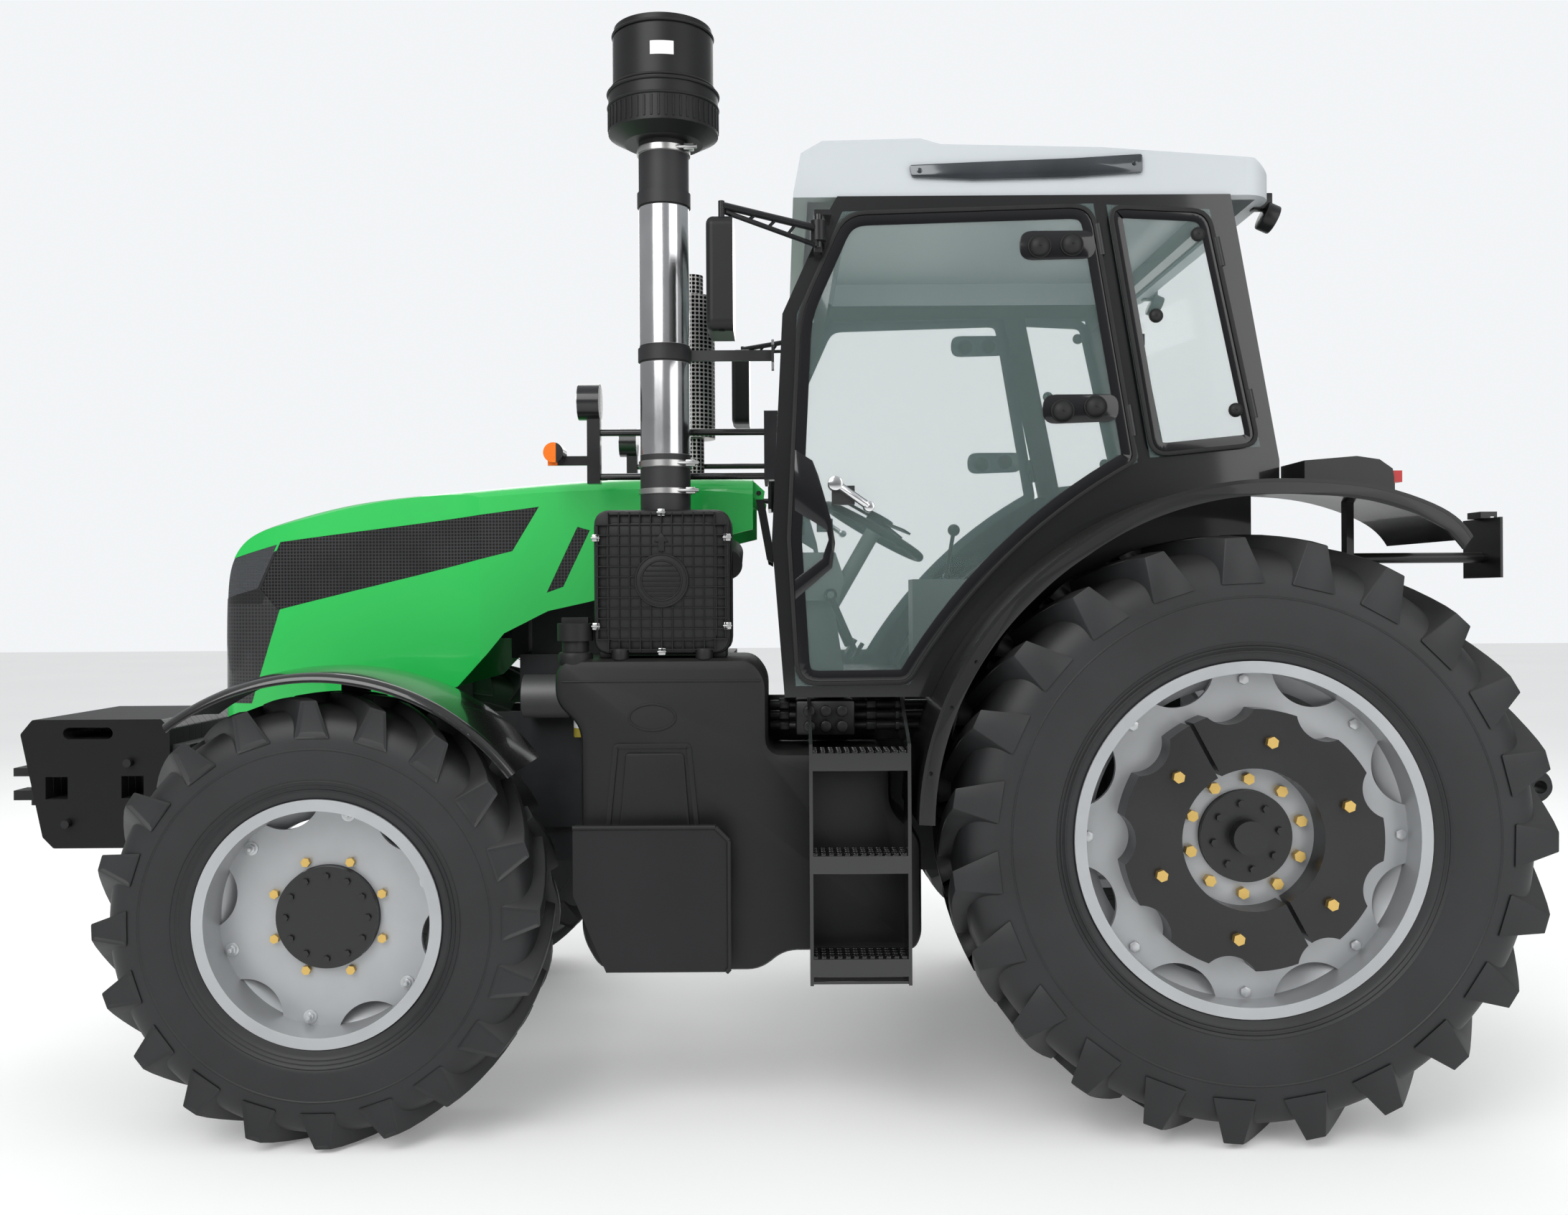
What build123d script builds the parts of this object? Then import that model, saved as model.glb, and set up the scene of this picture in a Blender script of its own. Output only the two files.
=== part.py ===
from build123d import *
import os
from math import atan2, cos, degrees, radians, sin

# A four-wheel-drive farm tractor with a glazed cab, a pack of front ballast and a rear linkage.
# Sizes are millimetres. +X runs from the nose to the tail, +Y to the driver's right and +Z up.
# The origin is on the ground, under the middle of the overall length and width.

os.makedirs("parts", exist_ok=True)

# ---- driving dimensions -------------------------------------------------------------------------
wheelbase = 2660
rear_axle_x = 1442
front_axle_x = rear_axle_x - wheelbase
rear_track = 1740
front_track = 1800

rear_tyre_radius = 875
rear_tyre_section = 467
rear_shoulder_radius = 818
rear_tread_width = 420
rear_bead_radius = 482.6
rear_rim_width = 406

front_tyre_radius = 650
front_tyre_section = 378
front_shoulder_radius = 592
front_tread_width = 340
front_bead_radius = 330.2
front_rim_width = 330

rim_flange_height = 25.4
rim_thickness = 8
bead_gap = 0.5

front_tip_x = front_axle_x - 1442
running_gap = 0.3
pin_gap = 0.05

cab_half_width = 800
cab_frame_depth = 60
cab_floor_z = 1290
cab_roof_z = 2790
roof_height = 160
door_gap = 6
door_glass = 6
sheet = 6

hood_half_width = 385
hood_wall = 5
hood_back_x = 15
hood_round = 60
hood_hinge = (34, 1926)
hood_pin_radius = 8


def finish(piece, label):
    """Names a finished piece and writes it to its own file."""
    piece.label = label
    export_step(piece, f"parts/{label}.step")


def group(*pieces):
    """Several separate solids that share one node."""
    return Compound(children=[solid for piece in pieces for solid in piece.solids()])


def right_hand(piece):
    """The right-hand copy of a left-hand piece."""
    return mirror(piece, about=Plane.XZ)


def profile_plane(centre):
    """A wheel's section plane: local x points out of the left side, local y up."""
    return Plane(origin=centre, x_dir=(0, -1, 0), z_dir=(-1, 0, 0))


def face_plane(centre, outboard):
    """A wheel's face plane, seen from the left, that far outboard of the tyre's middle."""
    x, y, z = centre
    return Plane(origin=(x, y - outboard, z), x_dir=(1, 0, 0), z_dir=(0, -1, 0))


def side_plane(y):
    """The plane that side outlines are drawn on: local x is X and local y is Z."""
    return Plane(origin=(0, y, 0), x_dir=(1, 0, 0), z_dir=(0, -1, 0))


def side_plate(points, y_from, y_to):
    """A flat plate or block whose side outline is the points given as (x, z)."""
    with BuildPart() as plate:
        with BuildSketch(side_plane(y_from)):
            with BuildLine():
                Polyline(*points, close=True)
            make_face()
        extrude(amount=y_from - y_to)
    return plate.part


def block(x, y, z):
    """A box between two limits on each axis."""
    with BuildPart() as body:
        with Locations(((x[0] + x[1]) / 2, (y[0] + y[1]) / 2, (z[0] + z[1]) / 2)):
            Box(x[1] - x[0], y[1] - y[0], z[1] - z[0])
    return body.part


def rod(start, end, radius):
    """A straight round bar between two points."""
    with BuildPart() as bar:
        line = Vector(*end) - Vector(*start)
        with BuildSketch(Plane(origin=start, z_dir=line)):
            Circle(radius)
        extrude(amount=line.length)
    return bar.part


def cross_hole(at, radius, y_from, y_to):
    """A tool for a hole across the machine."""
    return rod((at[0], y_from, at[1]), (at[0], y_to, at[1]), radius)


# ---- wheels -------------------------------------------------------------------------------------
rear_centre = (rear_axle_x, -rear_track / 2, rear_tyre_radius)
front_centre = (front_axle_x, -front_track / 2, front_tyre_radius)


def make_tyre(centre, radius, section, shoulder_radius, tread_width, bead_radius, rim_width):
    """An open-bellied casing: crowned tread, bulging walls and two beads."""
    bead = rim_width / 2 - bead_gap
    seat = bead_radius + bead_gap
    flange = bead_radius + rim_flange_height + 4
    middle = bead_radius + 0.45 * (shoulder_radius - bead_radius)
    bead_width = 32
    wall = 22
    crown = 62
    with BuildPart() as tyre:
        with BuildSketch(profile_plane(centre)):
            with BuildLine():
                Line((bead, seat), (bead, flange))
                ThreePointArc((bead, flange), (section / 2, middle), (tread_width / 2, shoulder_radius))
                ThreePointArc(
                    (tread_width / 2, shoulder_radius),
                    (tread_width / 4, radius - 0.23 * (radius - shoulder_radius)),
                    (0, radius),
                )
                Line((0, radius), (0, radius - crown))
                Line((0, radius - crown), (tread_width / 2 - wall, shoulder_radius - crown))
                ThreePointArc(
                    (tread_width / 2 - wall, shoulder_radius - crown),
                    (section / 2 - wall, middle),
                    (bead - bead_width, flange),
                )
                Line((bead - bead_width, flange), (bead - bead_width, seat))
                Line((bead - bead_width, seat), (bead, seat))
            make_face()
            mirror(about=Plane.YZ)
        revolve(axis=Axis(centre, (0, 1, 0)))
    return tyre.part


def make_rim(centre, bead_radius, rim_width, well_depth, disc_at):
    """A drop-centre rim ring with a flange on each edge."""
    half = rim_width / 2
    lip = bead_radius + rim_flange_height
    well = bead_radius - well_depth
    t = rim_thickness
    tyre_side = [(-half, lip), (-half, bead_radius), (-half + 70, bead_radius), (-half + 100, well)]
    tyre_side += [(disc_at - 32, well), (disc_at - 2, bead_radius), (half, bead_radius), (half, lip)]
    axle_side = [(half + t, lip), (half + t, bead_radius - t), (disc_at - 2, bead_radius - t)]
    axle_side += [(disc_at - 32, well - t), (-half + 100, well - t), (-half + 70, bead_radius - t)]
    axle_side += [(-half - t, bead_radius - t), (-half - t, lip)]
    with BuildPart() as rim:
        with BuildSketch(profile_plane(centre)):
            with BuildLine():
                Polyline(*tyre_side, *axle_side, close=True)
            make_face()
        revolve(axis=Axis(centre, (0, 1, 0)))
    return rim.part


def make_disc(centre, outboard, thickness, outer_radius, bore_radius, petals, scallop_radius, scallop_at, turn):
    """A pressed centre disc whose rim edge is cut into petals."""
    with BuildPart() as disc:
        with BuildSketch(face_plane(centre, outboard)):
            Circle(outer_radius)
            Circle(bore_radius, mode=Mode.SUBTRACT)
            with PolarLocations(scallop_at, petals, start_angle=turn):
                Circle(scallop_radius, mode=Mode.SUBTRACT)
        extrude(amount=thickness)
    return disc.part


def make_bolts(centre, outboard, height, across, circle_radius, count, turn):
    """A ring of hexagon heads that sit on a face."""
    with BuildPart() as bolts:
        with BuildSketch(face_plane(centre, outboard)):
            with PolarLocations(circle_radius, count, start_angle=turn):
                RegularPolygon(across / 2, 6, major_radius=False)
        extrude(amount=height)
    return bolts.part


def make_drum(centre, steps):
    """A stack of round steps on a wheel's axis, each (outboard from, outboard to, radius)."""
    with BuildPart() as drum:
        for start, end, radius in steps:
            with BuildSketch(face_plane(centre, start)):
                Circle(radius)
            extrude(amount=end - start)
    return drum.part


rear_disc_at = 108
rear_disc_thickness = 16
rear_disc_face = rear_disc_at + rear_disc_thickness
rear_hub_radius = 132
rear_axle_end_radius = 50
rear_hub_end = 148
rear_axle_end = 188
rear_axle_root = -420
rear_well_depth = 45
weight_thickness = 28
weight_count = 3
weight_radius = 372
weight_bore = 203

tyre_rear = make_tyre(
    rear_centre, rear_tyre_radius, rear_tyre_section, rear_shoulder_radius, rear_tread_width,
    rear_bead_radius, rear_rim_width,
)
rear_disc_radius = rear_bead_radius - rim_thickness
rear_disc = make_disc(
    rear_centre, rear_disc_at, rear_disc_thickness, rear_disc_radius, rear_hub_radius + running_gap,
    8, 120, rear_disc_radius + 55, 22.5,
)
rim_rear = group(
    make_rim(rear_centre, rear_bead_radius, rear_rim_width, rear_well_depth, rear_disc_at) + rear_disc,
    make_drum(
        rear_centre,
        [
            (rear_axle_root, 40, rear_axle_end_radius),
            (40, rear_hub_end, rear_hub_radius),
            (rear_hub_end, rear_axle_end, rear_axle_end_radius),
        ],
    ),
    make_bolts(rear_centre, rear_disc_face, 24, 30, 165, 10, 15),
    make_bolts(rear_centre, rear_hub_end, 12, 20, 96, 8, 10),
)


def make_wheel_weights():
    """Slotted ballast plates bolted flat on the rear disc, with a wavy edge."""
    plates = []
    for index in range(weight_count):
        start = rear_disc_face + index * weight_thickness
        with BuildPart() as plate:
            with BuildSketch(face_plane(rear_centre, start)):
                Circle(weight_radius)
                Circle(weight_bore, mode=Mode.SUBTRACT)
                with PolarLocations(weight_radius + 50, 9, start_angle=20):
                    Circle(88, mode=Mode.SUBTRACT)
                with Locations(Location((0, 0, 0), (0, 0, -62))):
                    Rectangle(2 * weight_radius, 12, mode=Mode.SUBTRACT)
            extrude(amount=weight_thickness)
        plates.append(plate.part)
    face = rear_disc_face + weight_count * weight_thickness
    return group(*plates, make_bolts(rear_centre, face, 20, 30, 282, 6, 20))


weights_rear = make_wheel_weights()

front_disc_at = 44
front_disc_thickness = 14
front_disc_face = front_disc_at + front_disc_thickness
front_well_depth = 40
front_hub_radius = 148
front_disc_radius = front_bead_radius - rim_thickness
front_hub_end = 84
front_hub_root = -15
front_stub_radius = 40

tyre_front = make_tyre(
    front_centre, front_tyre_radius, front_tyre_section, front_shoulder_radius, front_tread_width,
    front_bead_radius, front_rim_width,
)
front_disc = make_disc(
    front_centre, front_disc_at, front_disc_thickness, front_disc_radius, front_hub_radius + running_gap,
    6, 110, front_disc_radius + 62, 50,
)
rim_front = group(
    make_rim(front_centre, front_bead_radius, front_rim_width, front_well_depth, front_disc_at) + front_disc,
    make_drum(
        front_centre,
        [(-62, front_hub_root, front_stub_radius), (front_hub_root, front_hub_end, front_hub_radius)],
    ),
    make_bolts(front_centre, front_disc_face, 16, 24, 170, 8, 22.5),
    make_bolts(front_centre, front_hub_end, 8, 18, 120, 12, 0),
)

for side, turned in (("left", lambda piece: piece), ("right", right_hand)):
    finish(turned(tyre_rear), f"tyre_rear_{side}")
    finish(turned(rim_rear), f"rim_rear_{side}")
    finish(turned(weights_rear), f"weights_rear_{side}")
    finish(turned(tyre_front), f"tyre_front_{side}")
    finish(turned(rim_front), f"rim_front_{side}")

# ---- front axle ---------------------------------------------------------------------------------
fender_inner_radius = 728
fender_front_angle = 127
fender_rear_angle = 37
fender_y = (-698, -1092)
kingpin_y = -760
kingpin_radius = 25
boss_radius = 60
boss_half_height = 90
axle_z = front_tyre_radius
pivot_radius = 45
hanger_front_x = (front_axle_x - 235, front_axle_x - 190)
hanger_rear_x = (front_axle_x + 190, front_axle_x + 235)


def make_axle_beam():
    """A tubular drive axle with a differential bowl, kingpin bosses and a steering cylinder."""
    with BuildPart() as beam:
        with BuildSketch(Plane.XZ.offset(-kingpin_y - 10)) as tube:
            with Locations((front_axle_x, axle_z)):
                Ellipse(65, 75)
        extrude(amount=2 * (kingpin_y + 10))
        with Locations((front_axle_x, 0, axle_z)):
            Sphere(165)
        for y in (kingpin_y, -kingpin_y):
            with Locations((front_axle_x, y, axle_z)):
                Cylinder(boss_radius, 2 * boss_half_height)
                Cylinder(kingpin_radius + pin_gap, 3 * boss_half_height, mode=Mode.SUBTRACT)
        with Locations((front_axle_x, 0, axle_z)):
            Cylinder(pivot_radius, 500, rotation=(0, 90, 0))
    saddles = [block((front_axle_x + 40, front_axle_x + 120), (y - 20, y + 20), (axle_z - 25, axle_z + 25))
               for y in (-260, 260)]
    cylinder = rod((front_axle_x + 130, -300, axle_z), (front_axle_x + 130, 300, axle_z), 35)
    ram = rod((front_axle_x + 130, -560, axle_z), (front_axle_x + 130, 560, axle_z), 18)
    return group(beam.part + cylinder + ram + saddles[0] + saddles[1])


finish(make_axle_beam(), "axle_beam")


def make_knuckle():
    """The swinging end of the axle: two ears over the boss, a kingpin and the final drive case."""
    ear_inner = boss_half_height + running_gap
    ear_outer = ear_inner + 30
    case_at = (kingpin_y - boss_radius - 12, front_centre[1] - front_hub_root + running_gap)
    top = axle_z + fender_inner_radius - 17.6
    with BuildPart() as knuckle:
        for low, high in ((axle_z + ear_inner, axle_z + ear_outer), (axle_z - ear_outer, axle_z - ear_inner)):
            with Locations((front_axle_x, (kingpin_y + 68 + case_at[1]) / 2, (low + high) / 2)):
                Box(120, kingpin_y + 68 - case_at[1], high - low)
        with BuildSketch(Plane.XZ.offset(-case_at[0])):
            with Locations((front_axle_x, axle_z)):
                Circle(145)
                Circle(front_stub_radius + pin_gap, mode=Mode.SUBTRACT)
        extrude(amount=case_at[0] - case_at[1])
        with Locations((front_axle_x, kingpin_y, axle_z)):
            Cylinder(kingpin_radius, 2 * ear_outer + 20)
    stay = block((front_axle_x - 45, front_axle_x + 45), (kingpin_y + 58, kingpin_y + 68), (axle_z + ear_inner, top))
    return knuckle.part + stay


def make_front_fender():
    """A crowned mudguard that follows the front wheel, with a turned-down outer lip."""
    start = radians(fender_front_angle)
    plane = Plane(
        origin=(front_axle_x, 0, axle_z), x_dir=(0, -1, 0), z_dir=(-sin(start), 0, cos(start))
    )
    inner, outer = -fender_y[0], -fender_y[1]
    low, high = fender_inner_radius - 12, fender_inner_radius
    with BuildPart() as fender:
        with BuildSketch(plane):
            with BuildLine():
                ThreePointArc((inner, low), ((inner + outer) / 2, high), (outer - 20, low))
                ThreePointArc((outer - 20, low), (outer - 6, low - 8), (outer, low - 28))
                Line((outer, low - 28), (outer - 4, low - 28))
                ThreePointArc((outer - 4, low - 28), (outer - 9, low - 11), (outer - 22, low - 4))
                ThreePointArc((outer - 22, low - 4), ((inner + outer) / 2, high - 4), (inner, low - 4))
                Line((inner, low - 4), (inner, low))
            make_face()
        revolve(
            axis=Axis((front_axle_x, 0, axle_z), (0, 1, 0)),
            revolution_arc=fender_front_angle - fender_rear_angle,
        )
    return fender.part


def make_fender_strap():
    """A flat strap under the mudguard, from the knuckle's stay to the outer edge."""
    top = axle_z + fender_inner_radius - 17.6
    return block((front_axle_x - 30, front_axle_x + 30), (fender_y[1] + 40, kingpin_y + 68), (top - 8, top))


fender_front = make_front_fender()
knuckle_left = make_knuckle() + make_fender_strap()
for side, turned in (("left", lambda piece: piece), ("right", right_hand)):
    finish(turned(group(knuckle_left)), f"knuckle_{side}")
    finish(turned(group(fender_front)), f"front_fender_{side}")

# ---- frame, ballast and drive train -------------------------------------------------------------
frame_half_width = 220
frame_top = 1080
frame_bottom = 860
frame_front_x = front_axle_x - 763
engine_x = (-800, -60)
weight_plate = 50
weight_plates = 12


def make_front_frame():
    """The bolster under the hood: side rails, a front carrier and the two axle hangers."""
    rail = 40
    with BuildPart() as frame:
        for y in (-frame_half_width + rail / 2, frame_half_width - rail / 2):
            with Locations(((frame_front_x + engine_x[0]) / 2, y, (frame_top + frame_bottom) / 2)):
                Box(engine_x[0] - frame_front_x, rail, frame_top - frame_bottom)
        with Locations((frame_front_x + 30, 0, 950)):
            Box(60, 560, 260)
        with Locations(((frame_front_x + engine_x[0]) / 2, 0, frame_top - 15)):
            Box(engine_x[0] - frame_front_x, 2 * frame_half_width, 30)
        for low, high in (hanger_front_x, hanger_rear_x):
            with Locations(((low + high) / 2, 0, (frame_top + 590) / 2)):
                Box(high - low, 200, frame_top - 590)
        with Locations((front_axle_x, 0, axle_z)):
            Cylinder(pivot_radius + pin_gap, 600, rotation=(0, 90, 0), mode=Mode.SUBTRACT)
    cheeks = [side_plate([(-940, frame_top), (-800, frame_top), (-800, 1180), (-900, 1180)], y, y + 40)
              for y in (-frame_half_width, frame_half_width - 40)]
    return group(frame.part + cheeks[0] + cheeks[1])


finish(make_front_frame(), "front_frame")

weight_side = [(-469, 1169), (-29, 1169), (0, 1135), (0, 860), (-99, 800), (-99, 730)]
weight_side += [(-399, 730), (-436, 768), (-510, 1120)]
weight_side = [(frame_front_x + x, z) for x, z in weight_side]


def make_front_weights():
    """A row of flat ballast plates on two clamp rods, with a pin jaw in the middle."""
    rods = ((frame_front_x - 137, 1022), (frame_front_x - 349, 815))
    plates = []
    for index in range(weight_plates):
        y = -weight_plates * weight_plate / 2 + index * weight_plate
        with BuildPart() as plate:
            with BuildSketch(side_plane(y)) as outline:
                with BuildLine():
                    Polyline(*weight_side, close=True)
                make_face()
                fillet(outline.vertices(), 12)
                with Locations((frame_front_x - 279, 1122)):
                    SlotOverall(170, 40, mode=Mode.SUBTRACT)
                with Locations((frame_front_x - 387, 936), (frame_front_x - 128, 938)):
                    Rectangle(76, 76, mode=Mode.SUBTRACT)
                with Locations(*rods):
                    Circle(14 + running_gap, mode=Mode.SUBTRACT)
            extrude(amount=-weight_plate)
        plates.append(plate.part)
    half = weight_plates * weight_plate / 2 + 22
    clamps = [rod((x, -half, z), (x, half, z), 14) for x, z in rods]
    jaw = side_plate(
        [(front_tip_x, 858), (front_tip_x, 893), (frame_front_x - 559, 893), (frame_front_x - 559, 944), (front_tip_x, 944),
         (front_tip_x, 974), (frame_front_x - 480.3, 974), (frame_front_x - 455.9, 858)], -45, 45)
    pin_x = frame_front_x - 623
    with BuildPart() as pin_hole:
        with Locations((pin_x, 0, 916)):
            Cylinder(15 + pin_gap, 140)
    pin = rod((pin_x, 0, 835), (pin_x, 0, 1000), 15)
    return group(*plates, *clamps, jaw - pin_hole.part, pin)


finish(make_front_weights(), "front_weights")


def shell_box(x, y, z, wall, open_side):
    """A box casting with one open side: the side is x, y or z with a sign."""
    cavity = {"x": list(x), "y": list(y), "z": list(z)}
    for axis in cavity:
        cavity[axis] = [cavity[axis][0] + wall, cavity[axis][1] - wall]
    end = 0 if open_side[1] == "-" else 1
    cavity[open_side[0]][end] += wall * (-2 if end == 0 else 2)
    return block(x, y, z) - block(cavity["x"], cavity["y"], cavity["z"])


fan_x = -1350
fan_shaft = 20


def make_engine():
    """The engine: a block, a head, a sump, an alternator and a fuel filter on its left side."""
    body = shell_box(engine_x, (-220, 220), (780, 1380), 35, "z-")
    head = shell_box((-770, -110), (-150, 150), (1380, 1620), 25, "z+")
    cover = block((-760, -120), (-140, 140), (1620, 1660))
    sump = shell_box((-780, -80), (-200, 200), (660, 780), 20, "z+")
    alternator = rod((-770, -294, 1240), (-620, -294, 1240), 74)
    filter_body = rod((-560, -267, 1100), (-560, -267, 1330), 47)
    arm = block((-860, -800), (-60, 60), (1360, 1540)) + rod((-850, 0, 1450), (fan_x - 30, 0, 1450), fan_shaft)
    strut = block((-830, -800), (-60, 60), (frame_top, 1360))
    return group(body, head, cover, sump, alternator, filter_body, arm, strut)


finish(make_engine(), "engine")


def make_fan():
    """A seven-blade cooling fan that turns on the engine's forward shaft."""
    blades = 7
    with BuildPart() as fan:
        with BuildSketch(Plane(origin=(fan_x - 25, 0, 1450), x_dir=(0, 1, 0), z_dir=(1, 0, 0))):
            Circle(75)
            Circle(fan_shaft + pin_gap, mode=Mode.SUBTRACT)
        extrude(amount=50)
        with BuildSketch(Plane(origin=(fan_x - 5, 0, 1450), x_dir=(0, 1, 0), z_dir=(1, 0, 0))):
            with PolarLocations(180, blades):
                Rectangle(230, 90)
            Circle(60, mode=Mode.SUBTRACT)
        extrude(amount=10)
    return fan.part


finish(make_fan(), "fan")
radiator_x = (-1560, -1460)
finish(group(
    block(radiator_x, (-310, 310), (frame_top, 1760)),
    block((radiator_x[1], radiator_x[1] + 30), (-330, 330), (frame_top, frame_top + 60)),
), "radiator")

gearbox_half = 200
lift_pivot = (1606, 1060)
link_pivot = (1660, 520)
lift_pin = 25


def make_gearbox():
    """The transmission case, with the tank's two arms and the cab's front mounts."""
    case = shell_box((engine_x[1], 1240), (-gearbox_half, gearbox_half), (620, 1080), 35, "z+")
    lid = block((engine_x[1], 1240), (-gearbox_half, gearbox_half), (1080, 1100))
    arms = [block((x, x + 80), (-420, -gearbox_half), (900, 980)) for x in (-40, 280)]
    mounts = [block((220, 340), (y - 60, y + 60), (1100, cab_floor_z - 30)) for y in (-130, 130)]
    return group(case, lid, *arms, *mounts)


finish(make_gearbox(), "gearbox")


def make_rear_axle():
    """The rear axle: a centre housing, two trumpets, the linkage brackets and the cab's rear mounts."""
    with BuildPart() as trumpets:
        for side in (-1, 1):
            with BuildSketch(Plane(origin=(rear_axle_x, side * 220, rear_tyre_radius), z_dir=(0, side, 0))):
                Circle(105)
                Circle(rear_axle_end_radius + pin_gap, mode=Mode.SUBTRACT)
            extrude(amount=rear_track / 2 + 40 - running_gap - 220)
    centre = shell_box((1240, 1640), (-220, 220), (620, 1100), 40, "z+")
    lid = block((1240, 1640), (-220, 220), (1100, 1130))
    mounts = [block((1380, 1500), (y - 60, y + 60), (1130, cab_floor_z - 30)) for y in (-130, 130)]
    with BuildPart() as rockshaft:
        with BuildSketch(Plane(origin=(lift_pivot[0] + 100, -180, lift_pivot[1]), z_dir=(0, 1, 0))):
            Circle(60)
            Circle(40 + pin_gap, mode=Mode.SUBTRACT)
        extrude(amount=360)
    saddle = block((1640, 1665), (-180, 180), (1000, 1120)) - rod(
        (lift_pivot[0] + 100, -190, lift_pivot[1]), (lift_pivot[0] + 100, 190, lift_pivot[1]), 50)
    ears = []
    for y in (-320, 320):
        inner, outer = sorted((y - 50 * (1 if y > 0 else -1), y))
        ear = block((1580, 1700), (inner - 12, inner), (460, 700)) + block((1580, 1700), (outer, outer + 12), (460, 700))
        ear += block((1580, 1600), (inner - 12, outer + 12), (460, 700))
        pin = rod((link_pivot[0], inner - 12, link_pivot[1]), (link_pivot[0], outer + 12, link_pivot[1]), lift_pin)
        ears.append(ear + pin)
    top_ears = block((1640, 1740), (-42, -30), (900, 990)) + block((1640, 1740), (30, 42), (900, 990))
    top_ears += block((1640, 1650), (-42, 42), (900, 990)) + rod((1710, -42, 945), (1710, 42, 945), 16)
    pto = block((1640, 1660), (-90, 90), (640, 820)) - rod((1630, 0, 730), (1670, 0, 730), 30 + pin_gap)
    hood = block((1640, 1780), (-120, 120), (830, 840))
    whole = centre + ears[0] + ears[1] + top_ears + pto + hood
    whole += block((1560, 1600), (-382, 382), (620, 700))
    whole += rod((1330, 0, 570), (1330, 0, 640), 20) + rod((1330, 0, 572), (1330, 0, 584.7), 40)
    return group(whole + trumpets.part + rockshaft.part + saddle, lid, *mounts)


finish(make_rear_axle(), "rear_axle")

# ---- tank, air cleaner, intake and exhaust ------------------------------------------------------
tank_y = (-900, -420)
tank_front_x = -508
tank_top = 1391
neck = (-512, -845)
neck_radius = 40


def make_tank():
    """The moulded tank: a tall front part, a lower lobe behind it and a filler neck."""
    outline = [(tank_front_x + 60, 461), (40, 461), (110, 518), (500, 518), (520, 560), (520, 860)]
    outline += [(430, 940), (430, 1110), (65, 1110), (65, 1340), (30, tank_top), (-540, tank_top)]
    outline += [(-568, 1350), (-568, 1260), (tank_front_x, 1190), (tank_front_x, 560)]
    with BuildPart() as tank:
        with BuildSketch(side_plane(tank_y[0])) as side:
            with BuildLine():
                Polyline(*outline, close=True)
            make_face()
            fillet(side.vertices(), 14)
        extrude(amount=-(tank_y[1] - tank_y[0]))
        with Locations((neck[0], neck[1], tank_top + 40)):
            Cylinder(neck_radius, 80)
    return tank.part


finish(make_tank(), "fuel_tank")

with BuildPart() as fuel_cap:
    with Locations((neck[0], neck[1], tank_top + 80)):
        Cylinder(54, 52)
    with Locations((neck[0], neck[1], tank_top + 67)):
        Cylinder(neck_radius + pin_gap, 27, mode=Mode.SUBTRACT)
    with BuildSketch(Plane.XY.offset(tank_top + 106)):
        with Locations((neck[0], neck[1])):
            Rectangle(80, 22)
    extrude(amount=18)
finish(fuel_cap.part, "fuel_cap")

guard_side = [(-508, 900), (-508, 700), (-412, 475), (-60, 475), (-50, 485), (-50, 860), (-90, 900)]
finish(side_plate(guard_side, -950, tank_y[0]), "battery_box")

cleaner_x = (-456, -43)
cleaner_z = (1402, 1838)
cleaner_y = (-850, -650)
finish(group(
    block(cleaner_x, cleaner_y, cleaner_z)
    + rod((cleaner_x[1] - 20, -600, 1677), (cleaner_x[1] - 20, -660, 1677), 48)
    + rod((cleaner_x[1] - 20, -600, 1677), (cleaner_x[1] - 20, -470, 1720), 48)
    + block((-440, -400), (-840, -660), (tank_top, 1402)) + block((-100, -60), (-840, -660), (tank_top, 1402)),
), "air_cleaner_body")
cover_x, cover_z = (cleaner_x[0] + 14, cleaner_x[1] - 14), (cleaner_z[0] + 14, cleaner_z[1] - 14)
with BuildPart() as cleaner_cover:
    with Locations(((cover_x[0] + cover_x[1]) / 2, cleaner_y[0] - 12, sum(cover_z) / 2)):
        Box(cover_x[1] - cover_x[0], 24, cover_z[1] - cover_z[0])
    with BuildSketch(side_plane(cleaner_y[0] - 24)):
        for index in range(6):
            with Locations((cover_x[0] + 40 + index * 61, sum(cover_z) / 2)):
                Rectangle(10, cover_z[1] - cover_z[0] - 50)
    extrude(amount=8)
    with BuildSketch(side_plane(cleaner_y[0] - 24)):
        with Locations((sum(cover_x) / 2, sum(cover_z) / 2)):
            Circle(62)
    extrude(amount=12)
finish(cleaner_cover.part, "air_cleaner_cover")

stack = (-246, -750)
stack_radius = 77
precleaner_z = (2964, 3311)
with BuildPart() as intake:
    with BuildSketch(Plane.XY.offset(cleaner_z[1])):
        with Locations(stack):
            Circle(stack_radius)
            Circle(stack_radius - 8, mode=Mode.SUBTRACT)
    extrude(amount=precleaner_z[0] - cleaner_z[1])
    for low, high in ((1890, 1905), (1972, 1990), (2296, 2336), (2770, 2812), (2930, 2948)):
        with BuildSketch(Plane.XY.offset(low)):
            with Locations(stack):
                Circle(stack_radius + 5)
                Circle(stack_radius - 2, mode=Mode.SUBTRACT)
        extrude(amount=high - low)
stay_low = block((stack[0] + 60, 90), (stack[1] - 8, stack[1] + 8), (2300, 2332))
stay_low += block((82, 90), (stack[1] - 30, stack[1] + 8), (2270, 2360))
finish(group(intake.part + (stay_low - rod((stack[0], stack[1], 2200), (stack[0], stack[1], 2400), 75))), "intake_pipe")

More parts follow.
